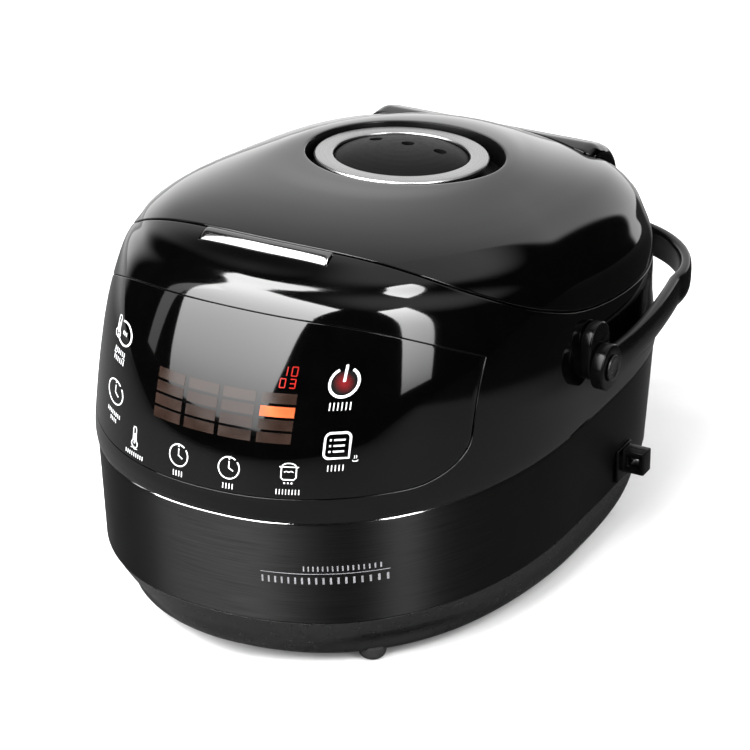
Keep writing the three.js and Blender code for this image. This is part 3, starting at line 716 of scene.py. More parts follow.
def panel_wall():
    """A front wall for the panel to be cut from."""
    columns = []
    for angle in ANGLES:
        outer = [skin(mix(1.2, 7, n / 64), angle) for n in range(65)]
        inner = [lining(mix(7, 1.2, n / 24), angle) for n in range(25)]
        columns.append(outer + inner)
    return loft("control_fascia", columns_to_rings(columns), loop=True)


def panel_cutter(margin):
    """The panel's outline as a block from the front, smaller by a margin."""
    width, tall = 2 * (PANEL_HALF - margin), 200
    middle = PANEL_BOTTOM + margin + tall / 2
    face = prism("face", "y", rectangle(0, middle, width, tall, PANEL_CORNER, 16), -230, -50)
    return cut(face, under(spline(PANEL_TOP), -margin), operation="INTERSECT")


def latch_outline(grow):
    """The latch button's outline from above, with its curved front, larger by a distance."""
    half = LATCH_HALF + grow
    back = [(half, LATCH_BACK + grow), (-half, LATCH_BACK + grow)]
    centre = LATCH_FRONT - grow + LATCH_SWEEP
    turn = math.asin(half / LATCH_SWEEP)
    front = []
    for n in range(33):
        angle = mix(-turn, turn, n / 32) - math.pi / 2
        front.append((LATCH_SWEEP * math.cos(angle), centre + LATCH_SWEEP * math.sin(angle)))
    return back + front


def hinge_room(inner, outer, low, high):
    """Cutters for the hinge arms on both sides, and for the barrels between them."""
    pieces = [lathe("barrel", rod(BARREL_RADIUS, -BARREL_HALF, BARREL_HALF), sideways(0, HINGE_Y, HINGE_Z), 32)]
    for side in (-1, 1):
        xs = sorted((side * (inner - 0.6), side * (outer + 0.6)))
        outline = [(xs[0], low), (xs[1], low), (xs[1], high), (xs[0], high)]
        pieces.append(prism("arm", "y", outline, HINGE_Y - 9, HINGE_Y + 8))
    return pieces


def housing():
    """The upper housing, open at the panel, latch and hinge, and the panel set into it."""
    notch = prism("notch", "z", latch_outline(0.8), 221, 260)
    hinge = hinge_room(BRACKET_INNER, BRACKET_OUTER, HINGE_Z - 17, HINGE_Z + 5)
    wall = cut(housing_wall(), panel_cutter(0), notch, *hinge)
    wear(wall, "housing", "gloss_black", "gloss_black", "upper_housing")
    fascia = cut(panel_wall(), panel_cutter(PANEL_GAP), operation="INTERSECT")
    wear(fascia, "housing", "panel_black", "panel_black", "control_panel")


def recess_radius(turn):
    """The recess edge's distance from the valve axis, in a direction round it."""
    across = RECESS_SHIFT[0] * math.sin(turn) - RECESS_SHIFT[1] * math.cos(turn)
    along = RECESS_SHIFT[0] * math.cos(turn) + RECESS_SHIFT[1] * math.sin(turn)
    return along + math.sqrt(RECESS ** 2 - across ** 2)


def lid_column(angle):
    """The lid's section in one direction: skin, recess, port, underside and inner skin."""
    to_valve = VALVE_FRAME.inverted()

    def spread(u):
        p = to_valve @ skin(u, angle)
        return math.hypot(p.x, p.y) - recess_radius(math.atan2(p.y, p.x))

    low = seam_number(angle, 1)
    high = solve(lambda u: 1.4 - spread(u), 9, 14)
    floor = -RECESS_DEPTH
    rim = to_valve @ skin(high, angle)
    turn = math.atan2(rim.y, rim.x)
    edge = recess_radius(turn)

    def ring(radius, z):
        return VALVE_FRAME @ Vector((radius * math.cos(turn), radius * math.sin(turn), z))

    outer = [skin(mix(low + 0.09, high, n / 84), angle) for n in range(85)]
    lip = [ring(edge + 0.6, rim.z - 0.1), ring(edge + 0.15, rim.z - 0.5), ring(edge, rim.z - 1.2)]
    well = [ring(edge, floor + 1), ring(edge - 0.3, floor + 0.3), ring(edge - 1, floor),
            ring(PORT + 0.6, floor), ring(PORT, floor - 0.6), ring(PORT, floor - 2.5),
            ring(edge + 2.4, floor - 2.5)]
    inner = [lining(mix(high - 0.15, low + 0.2, n / 24), angle) for n in range(25)]
    return edge_points(low, angle, -1)[::-1][1:] + outer + lip + well + inner


def lid():
    """The lid's shell, with a rougher, weaker reflection in the recess round the valve, which makes the recess
    darker.
    """
    rings = columns_to_rings([lid_column(angle) for angle in ANGLES])
    hinge = hinge_room(KNUCKLE_INNER, KNUCKLE_OUTER, HINGE_Z - 5, HINGE_Z + 9)
    shell = cut(loft("lid_shell", rings, loop=True), *hinge)
    wear(shell, "lid", "gloss_black", "gloss_black", "lid_outer_shell")
    shell.data.materials.append(FINISHES["well_black"])
    origin = at(0, VALVE_Y, VALVE_Z)
    for face in shell.data.polygons:
        offset = (face.center - origin) * 1000
        edge = recess_radius(math.atan2(offset.y, offset.x))
        if math.hypot(offset.x, offset.y) < edge + 0.4 and offset.z < 2:
            face.material_index = 1


def hinge_cover():
    """The cushion over the hinge, flat along its top and round at its ends."""
    side = [(146, 214), (160, 214.8), (172, 211), (182, 205.3),
            (189, 197), (192.5, 186), (192.5, 169), (146, 169)]
    side = rounded(side, 4, 6)
    half, radius, steps, proud = 78, 9, 8, 0.3
    turns = [n / steps * math.pi / 2 for n in range(steps, -1, -1)]
    rows = [(half - radius * (1 - math.sin(a)), radius * (1 - math.cos(a)) * 0.8) for a in turns]
    ends = [(-x, margin) for x, margin in rows] + rows[::-1]
    rings = [[(x, y, z) for y, z in inset(side, margin)] for x, margin in ends]
    tips = [[Vector((x, 168, 192))] for x in (ends[0][0], ends[-1][0])]
    cover = loft("hinge_cushion", [tips[0]] + rings + [tips[1]])
    numbers = [mix(0, 14, n / 70) for n in range(71)]
    body = [[skin(u, angle) + skin_normal(u, angle) * proud for angle in ANGLES[::2]] for u in numbers]
    inside = loft("inside", [[Vector((0, 0, 100))]] + body + [[Vector((0, VALVE_Y, 237.7))]])
    wear(cut(cover, inside, solver="MANIFOLD"), "lid", "gloss_black", "gloss_black", "hinge_cover")


# ---- band and base ----

def level(outline, z, margin=0.0):
    """A ring of the band or base at a height, smaller by a margin."""
    front, back, half, before, behind = outline
    points = []
    for angle in ANGLES:
        x, s = oval(angle, before if math.sin(angle) < 0 else behind)
        reach = (front if s < 0 else back) - margin
        points.append(Vector((x * (half - margin), s * reach, z)))
    return points


def band():
    """The brushed sleeve, with its rolled edges and the inlet's window."""
    top = BAND_TOP - 0.3
    outer = [(0.5, BAND_BOTTOM), (0.12, BAND_BOTTOM + 0.15), (0, BAND_BOTTOM + 0.5)]
    outer += [(0, mix(BAND_BOTTOM + 1, top - 1, n / 20)) for n in range(21)]
    outer += [(0.04, top - 0.85), (0.8, top - 0.06), (0.95, top), (1.2, top), (1.4, top - 0.4)]
    inner = [(1.4, BAND_BOTTOM + 0.4), (1.2, BAND_BOTTOM)]
    rings = []
    for margin, z in outer + inner:
        share = (z - BAND_BOTTOM) / (top - BAND_BOTTOM)
        rings.append(level([mix(a, b, share) for a, b in zip(BAND_LOWER, BAND_UPPER)], z, margin))
    window = rectangle(INLET_X, INLET_Z, INLET_WIDTH, INLET_HEIGHT, 1, 4)
    window = prism("window", "y", window, 150, 230)
    sleeve = cut(loft("band_sleeve", rings, loop=True), window)
    wear(sleeve, "housing", "dark_band", "dark_band", "outer_band")
    rim = [(-0.02, top - 1.05), (0.1, top - 0.72), (0.86, top + 0.02), (0.95, top - 0.2), (0.4, top - 1)]
    wear(loft("band_bright_edge", [level(BAND_UPPER, z, margin) for margin, z in rim], loop=True), "housing",
         "bright_edge", "dark_band")


def base():
    """The base tray with its vents and screw wells."""
    def profile(share):
        return [smooth(values, share) for values in zip(*BASE)]

    rows = [profile(4 * n / 40) for n in range(41)]
    outer = [level(row[1:], row[0]) for row in rows]
    inner = [level(row[1:], row[0] + WALL, WALL) for row in rows[:-4]]
    flat = [level(BASE[0][1:], BASE[0][0], margin) for margin in (90, 50, 20, 6)]
    lip = [level(BAND_LOWER, 36.2, 0.6), level(BAND_LOWER, 36.2, WALL)]
    floor = [level(BASE[0][1:], BASE[0][0] + WALL, margin) for margin in (20, 60)]
    rings = [[Vector((0, 0, 5.6))]] + flat + outer + lip + inner[::-1] + floor + [[Vector((0, 0, 8.4))]]
    vents = [rectangle(side * 36, row * 16, 52, 6, 2.9, 6) for side in (-1, 1) for row in range(-2, 3)]
    slots = [prism("vent", "z", vent, 3, 11) for vent in vents]
    wells = [lathe("well", rod(4.4, 3, 12), upright(x, y), 32) for x, y in SCREWS]
    tray = cut(loft("base_tray", rings), *slots, *wells)
    wear(tray, "housing", "satin_black", "satin_black", "base_shell")


def feet():
    """The four rubber feet."""
    outline = [(0, 0), (5.5, 0), (7.6, 1.8), (8.4, 5), (8.4, 9), (0, 9)]
    for spot, x, y in FEET:
        foot = lathe("rubber_foot_" + spot, rounded(outline, 1.6, 5, closed=False), upright(x, y), 48)
        wear(foot, "housing", "rubber", "rubber", "foot_" + spot)


# ---- latch, valve, handle ----

def latch():
    """The latch button: its top follows the bevel, with soft edges and walls down to the hook."""
    columns = []
    spread = [0, 0.004, 0.012, 0.03] + [n / 40 for n in range(2, 39)] + [0.97, 0.988, 0.996, 1]
    drop = {0: 0.7, 1: 0.3, 2: 0.08}
    steps = [0, 0.02, 0.06] + [n / 20 for n in range(2, 19)] + [0.94, 0.98, 1]
    last = len(steps) - 1
    for i, s in enumerate(spread):
        x = mix(-LATCH_HALF, LATCH_HALF, s)
        front = LATCH_FRONT + LATCH_SWEEP - math.sqrt(LATCH_SWEEP ** 2 - x * x)
        column = []
        back = solve(lambda y: top_skin(x, y) - seam_height(y) - LATCH_GAP, -126, -112)
        for j, t in enumerate(steps):
            y = mix(front, back, t)
            z = top_skin(x, y) + LATCH_CROWN * math.sin(math.pi * t)
            fall = max(drop.get(min(i, len(spread) - 1 - i), 0), drop.get(min(j, last - j), 0))
            column.append(Vector((x, y, z - fall)))
        columns.append(column)
    button = closed_patch("latch_cap", columns, LATCH_FLOOR)
    wear(button, "latch", "silver_trim", "silver_trim", "latch_button")


def closed_patch(name, columns, floor):
    """A grid of points closed by upright walls and a flat floor."""
    rows, width = len(columns), len(columns[0])
    points = [p for column in columns for p in column]
    faces = []
    for i in range(rows - 1):
        for j in range(width - 1):
            a = i * width + j
            faces.append([a, a + 1, a + width + 1, a + width])
    border = list(range(width))
    border += [i * width + width - 1 for i in range(1, rows)]
    border += [(rows - 1) * width + j for j in range(width - 2, -1, -1)]
    border += [i * width for i in range(rows - 2, 0, -1)]
    start = len(points)
    points += [Vector((points[i].x, points[i].y, floor)) for i in border]
    count = len(border)
    for n in range(count):
        m = (n + 1) % count
        faces.append([border[n], border[m], start + m, start + n])
    faces.append(list(range(start, start + count)))
    return make(name, points, faces)


def valve():
    """The steam valve: its bowl, its ring and its cap with three holes."""
    cup = [(10.8, -14.4), (13.6, -14.4), (13.6, -9.6), (43, -9.6), (49, -4), (52.3, -3.6),
           (52.3, -2.5), (47, -2.5), (42, -7.8), (10.8, -7.8)]
    cup = lathe("valve_bowl", rounded(cup, 1, 3), VALVE_FRAME)
    wear(cup, "valve", "satin_black", "satin_black", "valve_cup")
    trim = [(41.2, -2.2), (52.3, -2.2), (52.9, -1.4), (51.9, 0), (42, 0), (41.2, -0.8)]
    trim = lathe("valve_trim", rounded(trim, 0.9, 5), VALVE_FRAME, 192)
    wear(trim, "valve", "silver_ring", "silver_trim", "valve_ring")
    dome = [(0, 4.3), (8, 4.2), (16, 3.8), (23, 3.1), (29, 2.1), (34, 0.8), (38, -0.7), (40.2, -2),
            (40.9, -3.2), (40.9, -6.8), (38.8, -6.8), (38.8, -3.6), (35, -2), (26, 0), (0, 2)]
    holes = [lathe("hole", rod(4, -10, 20), VALVE_FRAME @ upright(x, 7.6), 40) for x in (-21.7, 0, 21.7)]
    cap = cut(lathe("valve_dome", rounded(dome, 0.7, 3, closed=False), VALVE_FRAME, 160), *holes)
    wear(cap, "valve", "cap_black", "gloss_black", "valve_cap")


def handle_path():
    """The strap's centre line on one side, as distances across and along."""
    straight = REACH - CORNER[1]
    side = []
    for n in range(32):
        share = n / 32
        lean = max(0, (share - 0.2) / 0.8) ** 1.6
        side.append((ARM - TAPER * lean, straight * share))
    for n in range(41):
        turn = math.pi / 80 * n
        side.append((ARM - TAPER - CORNER[0] * (1 - math.cos(turn)), straight + CORNER[1] * math.sin(turn)))
    return side + [(-a, b) for a, b in side[::-1][1:]]


def handle():
    """The strap with a hub on each pivot."""
    place = upright(0, HANDLE_Y, HANDLE_Z) @ Matrix.Rotation(HANDLE_ANGLE, 4, "X")
    path = handle_path()
    rings = []
    for i, (a, b) in enumerate(path):
        before, after = path[max(i - 1, 0)], path[min(i + 1, len(path) - 1)]
        out = Vector((after[1] - before[1], before[0] - after[0])).normalized()
        ring = []
        for turn in around(40):
            p, q = oval(turn, 3.4)
            reach = p * STRAP_HALF_THICK
            ring.append(place @ Vector((a + out.x * reach, b + out.y * reach, q * STRAP_HALF_TALL)))
        rings.append(ring)
    tips = [place @ Vector((s * ARM, 0, 0)) for s in (1, -1)]
    strap = loft("strap", [[tips[0]]] + rings + [[tips[1]]])
    hubs = []
    for side in (-1, 1):
        hub = [(5.4, -4), (HUB_RADIUS, -4), (HUB_RADIUS, 4), (5.4, 4)]
        hubs.append(lathe("hub", rounded(hub, 1.3, 4), sideways(side * ARM, HANDLE_Y, HANDLE_Z), 64))
    wear(combine("handle_strap", [strap] + hubs), "handle", "handle_black", "satin_black", "carry_handle")


def pivots():
    """The plate and the pin that carry the handle on each side."""
    face = rectangle(PLATE_Y, PLATE_Z, PLATE_WIDTH, PLATE_HEIGHT, 12, 12)
    outline = [(0, 145.6), (5, 145.6), (5, 156.4), (8, 156.4),
               (8, 157.8), (5.2, 157.8), (4.6, 157.3), (0, 157.3)]
    outline = rounded(outline, 0.5, 3, closed=False)
    for side, s, turn in (("left", -1, math.pi), ("right", 1, 0)):
        low, high = sorted((s * 140, s * 147.4))
        plate = prism("pivot_plate_" + side, "x", face, low, high, 1.4)
        wear(plate, "housing", "handle_black", "satin_black", "handle_plate_" + side)
        axis = sideways(0, HANDLE_Y, HANDLE_Z) @ Matrix.Rotation(turn, 4, "X")
        pin = lathe("pivot_pin_" + side, outline, axis, 48)
        wear(pin, "housing", "satin_black", "satin_black", "handle_pin_" + side)


def pot():
    """The inner pot with its rolled flange."""
    def bend(margin):
        a, b, r = POT_RADIUS - POT_CORNER, POT_BOTTOM + POT_CORNER, POT_CORNER - margin
        turns = [math.pi / 24 * n for n in range(13)]
        return [(a + r * math.sin(turn), b - r * math.cos(turn)) for turn in turns]

    lip = [(119.2, POT_RIM), (120, POT_RIM + 0.6), (120, POT_RIM + 1.4), (119.2, POT_RIM + 2)]
    outside = [(0, POT_BOTTOM)] + bend(0) + [(POT_RADIUS, POT_RIM)] + lip
    inner = [(111.9, POT_RIM + 2), (110.7, POT_RIM + 1.4), (110.2, POT_RIM + 0.4)]
    body = lathe("pot_body", outside + inner + bend(1.8)[::-1] + [(0, POT_BOTTOM + 1.8)], upright(0, POT_Y))
    wear(body, "housing", "pot_coating", "pot_coating", "inner_pot")
    seal = [(109, 153.2), (112, 152.8), (118.4, 153.4), (118.4, 158.2), (109, 158.2),
            (109, 157.1), (114, 157.1), (114, 155.3), (109, 155.3)]
    seal = lathe("seal_ring", rounded(seal, 0.6, 3), upright(0, POT_Y))
    wear(seal, "lid", "silicone", "silicone", "lid_seal")


# ---- printed panel ----

POWER, DIGITS = (69.7, 182.6), (41, 185)
FIELD_X, FIELD_Z, FIELD_PITCH, FIELD_TALL = -28, 173.8, (22.3, 7.1), 5.9
GLOW_STEP, GLOW_LIFT, GLOW_REACH = 0.85, 0.06, 0.0068


class Print:
    """Thin strips laid on a front wall, drawn in a plane about a point of it; stretch widens them."""

    def __init__(self, x, z, stretch=1.0, wall=front_skin):
        self.x, self.z, self.wall = x, z, wall
        across = wall(x + 0.5, z) - wall(x - 0.5, z)
        up = wall(x, z + 0.5) - wall(x, z - 0.5)
        self.scale = (stretch / across.length, 1 / up.length)
        self.normal = across.cross(up).normalized()
        self.points, self.faces = [], []

    def spot(self, a, b, lift):
        return self.wall(self.x + a * self.scale[0], self.z + b * self.scale[1]) + self.normal * lift

    def stroke(self, path, width=0.55, closed=False, lift=0.16):
        """A strip of a given width along a path."""
        path = [Vector(p) for p in path]
        count, start = len(path), len(self.points)
        for i, p in enumerate(path):
            a = path[(i - 1) % count] if closed or i else p
            b = path[(i + 1) % count] if closed or i < count - 1 else p
            along = (b - a).normalized()
            side = Vector((-along.y, along.x)) * width / 2
            for q, rise in ((p + side, 0.02), (p + side, lift), (p - side, lift), (p - side, 0.02)):
                self.points.append(self.spot(q.x, q.y, rise))
        for i in range(count if closed else count - 1):
            a, b = start + 4 * i, start + 4 * ((i + 1) % count)
            self.faces += [[a + n, a + n + 1, b + n + 1, b + n] for n in range(3)]
        if not closed:
            self.faces += [[start, start + 1, start + 2, start + 3]]
            end = start + 4 * (count - 1)
            self.faces += [[end + 3, end + 2, end + 1, end]]

    def arc(self, a, b, radius, begin=0, end=360, width=0.55, squeeze=1.0):
        full = abs(end - begin) >= 360
        steps = 40
        turns = [math.radians(mix(begin, end, n / steps)) for n in range(steps + (not full))]
        path = [(a + radius * math.cos(t), b + radius * squeeze * math.sin(t)) for t in turns]
        self.stroke(path, width, full)

    def caption(self, a, b, count, tall, pitch):
        """A row of short plain bars where a caption would stand."""
        for n in range(count):
            x = a + (n - (count - 1) / 2) * pitch
            self.stroke([(x, b - tall / 2), (x, b + tall / 2)], pitch * 0.28)

    def dot(self, a, b, radius):
        self.stroke([(a - radius, b), (a + radius, b)], 2 * radius)


def band_skin(x, z):
    """The band's surface at a given x and z, in front."""
    share = (z - BAND_BOTTOM) / (BAND_TOP - BAND_BOTTOM)
    front, _, half, before, _ = (mix(a, b, share) for a, b in zip(BAND_LOWER, BAND_UPPER))
    return Vector((x, -front * (1 - abs(x / half) ** before) ** (1 / before), z))


def print_clock(mark, radius=6.3):
    mark.arc(0, 0, radius, 55, 400, 0.7)
    mark.stroke([(0, 4), (0, 0), (2.8, -1.5)], 0.7)
    mark.stroke([(0, radius - 1.4), (0, radius + 0.4)], 0.7)


def print_thermometer(mark, a=0.0):
    tube = [(-1.1, -1.6), (-1.1, 5.6), (-0.5, 6.6), (0.5, 6.6), (1.1, 5.6), (1.1, -1.6)]
    mark.stroke([(a + x, y) for x, y in tube], 0.5)
    mark.arc(a, -3.4, 2.2, 120, 420, 0.5)
    mark.stroke([(a, -3.2), (a, 2.6)], 0.9)


def symbol_marks():
    """The touch symbols of the panel, from power and menu down to the row under the display."""
    marks = []

    def start(x, z, stretch=1.0):
        marks.append(Print(x, z, stretch))
        return marks[-1]

    power = start(*POWER)
    power.arc(0, 0, 8.1, 118, 422, 1.5)
    power.stroke([(0, 0.6), (0, 10)], 1.5)
    power.caption(0, -13.6, 6, 4.6, 2.3)
    menu = start(70.9, 148.9)
    frame_line = rectangle(0, 0, 14.2, 14.6, 3.2, 5)
    menu.stroke(frame_line[:-6] + [(7.1, -7.3)], 1.3, closed=True)
    for row in (3.3, 0, -3.3):
        menu.dot(-3.9, row, 0.55)
        menu.stroke([(-2, row), (4.2, row)], 1)
    menu.caption(0.3, -13, 5, 3.6, 2.1)
    steam = start(79.7, 141.5)
    steam.stroke([(-1.6, -1.2), (-1.2, -2), (1.2, -2), (1.6, -1.2)], 0.5)
    for x in (-0.8, 0.4):
        steam.stroke([(x, -0.4), (x + 0.4, 0.5), (x, 1.4)], 0.4)
    hot = start(-75.3, 181.4, 1.5)
    print_thermometer(hot, -4)
    hot.arc(2, -0.6, 6.4, -150, 115, 1)
    hot.caption(2.4, -0.4, 3, 2.2, 1.4)
    hot.caption(0.4, -12.2, 6, 2.8, 1.7)
    hot.stroke([(-5, -14.6), (5.4, -14.6)], 0.4)
    hot.caption(0.4, -16.9, 6, 2.8, 1.7)
    delay = start(-74.2, 148.2, 1.6)
    print_clock(delay, 6.6)
    delay.caption(0, -12.3, 8, 2.4, 1.5)
    delay.caption(0, -16.2, 4, 2.4, 1.5)
    heat = start(-51.4, 131.6, 1.25)
    print_thermometer(heat)
    heat.stroke([(-2.6, -6.4), (-1.2, -5.8), (0.4, -6.5), (2.2, -5.9)], 0.5)
    heat.caption(0, -9.8, 9, 2.4, 1.6)
    for x in (-17, 15.5):
        clock = start(x, 132.8)
        print_clock(clock)
        clock.caption(0, -10.6, 4, 3.2, 1.9)
    dish = start(48.8, 134.9)
    dish.stroke([(-4.2, 2), (-4.2, -4), (-3, -5.2), (3, -5.2), (4.2, -4), (4.2, 2)], 0.7)
    dish.stroke([(-5.4, 2.2), (5.4, 2.2)], 0.6)
    dish.arc(0, 2.2, 4, 0, 180, 0.6, 0.55)
    dish.stroke([(-2.6, -0.8), (-1.3, -0.2), (0, -0.8), (1.3, -0.2), (2.6, -0.8)], 0.5)
    for x in (-2, 0, 2):
        dish.dot(x, -7.2, 0.45)
    dish.caption(0, -12.4, 8, 3, 1.8)
    return marks


def band_marks():
    """Two plain rows of bars and a rule, low on the band's front."""
    upper = Print(73, 73, 1, band_skin)
    upper.caption(0, 0, 16, 3.2, 2.9)
    rule = Print(63, 69.6, 1, band_skin)
    rule.stroke([(-36 + 3 * n, 0) for n in range(25)], 0.35)
    lower = Print(63, 65, 1, band_skin)
    lower.caption(0, 0, 18, 4.2, 4.1)
    return [upper, rule, lower]


SEGMENTS = {"0": "abcdef", "1": "bc", "3": "abgcd"}
STROKES = {
    "a": ((-1, 2), (1, 2)), "b": ((1, 2), (1, 0)), "c": ((1, 0), (1, -2)), "d": ((-1, -2), (1, -2)),
    "e": ((-1, 0), (-1, -2)), "f": ((-1, 2), (-1, 0)), "g": ((-1, 0), (1, 0)),
}


def display_marks():
    """Digits, the lit field and the unlit fields of the display."""
    digits, lit, unlit = [], [], []
    for row, text in ((3.4, "10"), (-3.4, "03")):
        mark = Print(*DIGITS)
        for n, digit in enumerate(text):
            for segment in SEGMENTS[digit]:
                ends = [(a * 1.5 + (n - 0.3) * 5.6, b * 1.25 + row) for a, b in STROKES[segment]]
                mark.stroke(ends, 0.6)
        digits.append(mark)
    for column in range(4):
        for row in range(4):
            mark = Print(FIELD_X + column * FIELD_PITCH[0], FIELD_Z - row * FIELD_PITCH[1])
            mark.stroke([(a, 0) for a in (-9.8, -5, 0, 5, 9.8)], FIELD_TALL)
            (lit if (column, row) == (3, 1) else unlit).append(mark)
    return digits, lit, unlit


def printed(name, marks, material, slot):
    """One piece from several marks."""
    points, faces = [], []
    for mark in marks:
        start = len(points)
        points += mark.points
        faces += [[start + i for i in face] for face in mark.faces]
    obj = make(name, points, faces, 40)
    return wear(obj, "housing", material, slot)


def graphics():
    """All print on the panel and band, the display's cells and the light behind the power symbol."""
    printed("panel_symbols", symbol_marks(), "print_white", "silver_trim")
    printed("band_marks", band_marks(), "print_grey", "silver_trim")
    digits, lit, unlit = display_marks()
    printed("display_digits", digits, "lamp_red", "display_glass")
    printed("display_lit_field", lit, "lamp_orange", "display_glass")
    printed("display_fields", unlit, "lamp_dim", "display_glass")
    centre = Print(*POWER)
    rings = [[centre.spot(0, 0, GLOW_LIFT)]]
    for n in range(1, 9):
        r = n * GLOW_STEP
        rings.append([centre.spot(r * math.cos(a), r * math.sin(a), GLOW_LIFT) for a in around(48)])
    FINISHES["glow"] = glow("power_glow", at(*front_skin(*POWER)), GLOW_REACH)
    wear(loft("power_backlight", rings), "housing", "glow", "display_glass")


# ---- carried nodes, stage, camera ----

def fittings():
    """Small moulded and pressed parts with their edges eased, and finishes for every node that is carried."""
    slots = {entry["node"]: entry["material_slot"] for entry in frame["record"]["subparts"]}
    bodies = frame["record"]["behaviour"]["bodies"]
    owner = {node: body for body, nodes in bodies.items() for node in nodes}
    eased = {
        "utensil_holder": 0.8, "power_inlet": 0.6, "latch_hook": 0.3, "lid_striker": 0.3,
        "hinge_bracket_left": 0.4, "hinge_bracket_right": 0.4, "lid_knuckle_left": 0.4,
        "lid_knuckle_right": 0.4, "power_transformer": 0.8, "power_relay": 0.5,
        "inner_lid_plate": 0.2, "lid_liner": 0.6, "top_deck": 0.6,
    }
    coats = {"utensil_holder": "handle_black"}
    for node, width in eased.items():
        wear(softened(node, width), owner[node], coats.get(node, slots[node]), slots[node], node)
    for joint in frame["joints"]:
        for coil in joint.get("deforming_nodes", []):
            node, fixed = coil["node"], coil["fixed_end_z_m"]
            spring = wear(softened(node, 0.05), joint["parent"], slots[node], slots[node], node)
            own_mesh(spring)
    for node, obj in frame["nodes"].items():
        obj.data.materials.clear()
        obj.data.materials.append(FINISHES[slots[node]])


FLOOR_RADIUS, FLOOR_LEVEL = 1900, -0.2
AIM = (0, 0, 0.15)

# Each light's azimuth, elevation, distance, width and height, radiance, and fade from lower to upper edge.
SOFTBOXES = (
    ("front_softbox", -24, 39, 1.3, (1.38, 1.8), 20, (0.16, 1)),
    ("edge_softbox", -63, 30, 1.3, (0.17, 1.2), 2.5, (0.4, 1)),
    ("side_strip", 71, 28, 1.5, (0.38, 1.5), 21, (0.14, 1)),
)
CAMERA_PLACE, CAMERA_BACK = (0.84875, -1.5991, 0.9562), (0.42563, -0.79712, 0.42829)
CAMERA_LENS, CAMERA_SENSOR = 157.2, 36


def softbox(name, azimuth, elevation, distance, size, radiance, fade):
    """A rectangular light aimed at the object; fade is its share of radiance at the lower and upper edge."""
    light = bpy.data.lights.new(name, "AREA")
    light.shape = "RECTANGLE"
    light.size, light.size_y = size
    light.energy = math.pi * size[0] * size[1]
    light.use_nodes = True
    graph = Graph(light.node_tree)
    split = graph.add("ShaderNodeSeparateXYZ")
    graph.feed(split.inputs[0], graph.add("ShaderNodeNewGeometry").outputs["Parametric"])
    strength = graph.ramp(split.outputs["Y"], 0, 1, radiance * fade[0], radiance * fade[1])
    graph.feed(graph.tree.nodes["Emission"].inputs["Strength"], strength)
    az, el = math.radians(azimuth), math.radians(elevation)
    away = Vector((math.sin(az) * math.cos(el), -math.cos(az) * math.cos(el), math.sin(el)))
    obj = linked(name, light)
    obj.location = Vector(AIM) + away * distance
    obj.rotation_euler = away.to_track_quat("Z", "Y").to_euler()
    obj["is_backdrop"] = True


def floor_finish():
    """A pale floor that is held back where other surfaces mirror it."""
    graph = Nodes("floor")
    factor = graph.noise(12)
    rear_left = graph.along(graph.place, (-0.5, 0.866, 0), 0.5, 0.9)
    rear_right = graph.along(graph.place, (0.5, 0.866, 0), 0.36, 0.44)
    right = graph.along(graph.place, (1, 0, 0), 0, 0.1)
    tone = graph.calc("MULTIPLY_ADD", rear_left, 0.35, 0.085)
    kept = graph.calc("MULTIPLY_ADD", graph.calc("MULTIPLY", rear_right, right), -0.96, 1)
    mirrored = graph.add("ShaderNodeLightPath").outputs["Is Glossy Ray"]
    pale = graph.colours(factor, 0.78, 0.8)
    graph.dress(Base_Color=graph.blend(mirrored, pale, graph.calc("MULTIPLY", tone, kept)))
    graph.dress(Roughness=graph.between(factor, 0.7, 0.8), Specular_IOR_Level=0.1)
    graph.bump(factor, 0.02, 0.0001)
    return graph.material


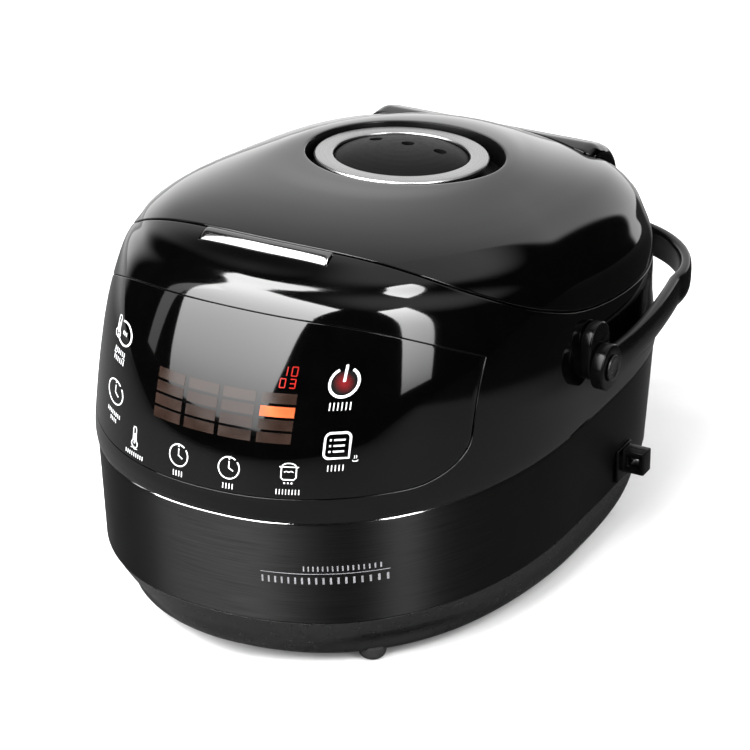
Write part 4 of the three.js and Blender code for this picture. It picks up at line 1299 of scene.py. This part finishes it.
def surround():
    """White for the camera; for reflections dark, with a bright rear and a glow overhead."""
    world = bpy.data.worlds.new("studio")
    bpy.context.scene.world = world
    world.use_nodes = True
    graph = Graph(world.node_tree)
    graph.tree.nodes.clear()
    way = graph.add("ShaderNodeTexCoord").outputs["Generated"]
    rear = graph.calc("MULTIPLY", graph.along(way, beside(164), -0.01, 0.03),
                      graph.along(way, beside(-105, -1), -0.05, 0.25))
    fall = graph.ramp(graph.along(way, (0, 0, 1), 0, 0.4), 0, 1, 2.1, 1.1)
    glare = graph.calc("MAXIMUM", graph.calc("MULTIPLY_ADD", rear, fall, 0.008),
                       graph.along(way, (0.32, 0.38, 0.87), 0.76, 0.95))
    choose = graph.add("ShaderNodeMixShader")
    graph.feed(choose.inputs[0], graph.add("ShaderNodeLightPath").outputs["Is Glossy Ray"])
    for target, strength in zip(choose.inputs[1:], (1.0, glare)):
        background = graph.add("ShaderNodeBackground")
        graph.feed(background.inputs["Strength"], strength)
        graph.feed(target, background.outputs[0])
    graph.feed(graph.add("ShaderNodeOutputWorld").inputs[0], choose.outputs[0])


def studio():
    """The floor, the surround and the three lights."""
    edge = [(FLOOR_RADIUS * math.cos(a), FLOOR_RADIUS * math.sin(a), FLOOR_LEVEL) for a in around(96)]
    floor = make("floor", edge, [list(range(96))])
    floor.data.materials.append(floor_finish())
    floor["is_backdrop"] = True
    surround()
    for name, *light in SOFTBOXES:
        softbox(name, *light)
    bpy.context.scene.view_settings.view_transform = "Standard"


def beside(azimuth, way=1):
    """A level direction at right angles to an azimuth, towards the rear."""
    angle = math.radians(azimuth)
    return (way * math.cos(angle), way * math.sin(angle), 0)


def camera():
    """The photograph's view, found from where the object's own points appear in it."""
    back = Vector(CAMERA_BACK).normalized()
    right = Vector((0, 0, 1)).cross(back).normalized()
    up = back.cross(right)
    turn = Matrix((right, up, back)).transposed().to_4x4()
    data = bpy.data.cameras.new("camera")
    data.lens = CAMERA_LENS
    data.sensor_width = CAMERA_SENSOR
    data.clip_end = 20
    obj = linked("camera", data)
    obj.matrix_world = Matrix.Translation(CAMERA_PLACE) @ turn
    bpy.context.scene.camera = obj


def corners(bounds):
    return [[round(value, 6) for value in corner] for corner in bounds]


housing()
lid()
hinge_cover()
band()
base()
feet()
latch()
valve()
handle()
pivots()
pot()
graphics()
fittings()
studio()
camera()
END_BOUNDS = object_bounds()
{"start": corners(START_BOUNDS), "end": corners(END_BOUNDS)}
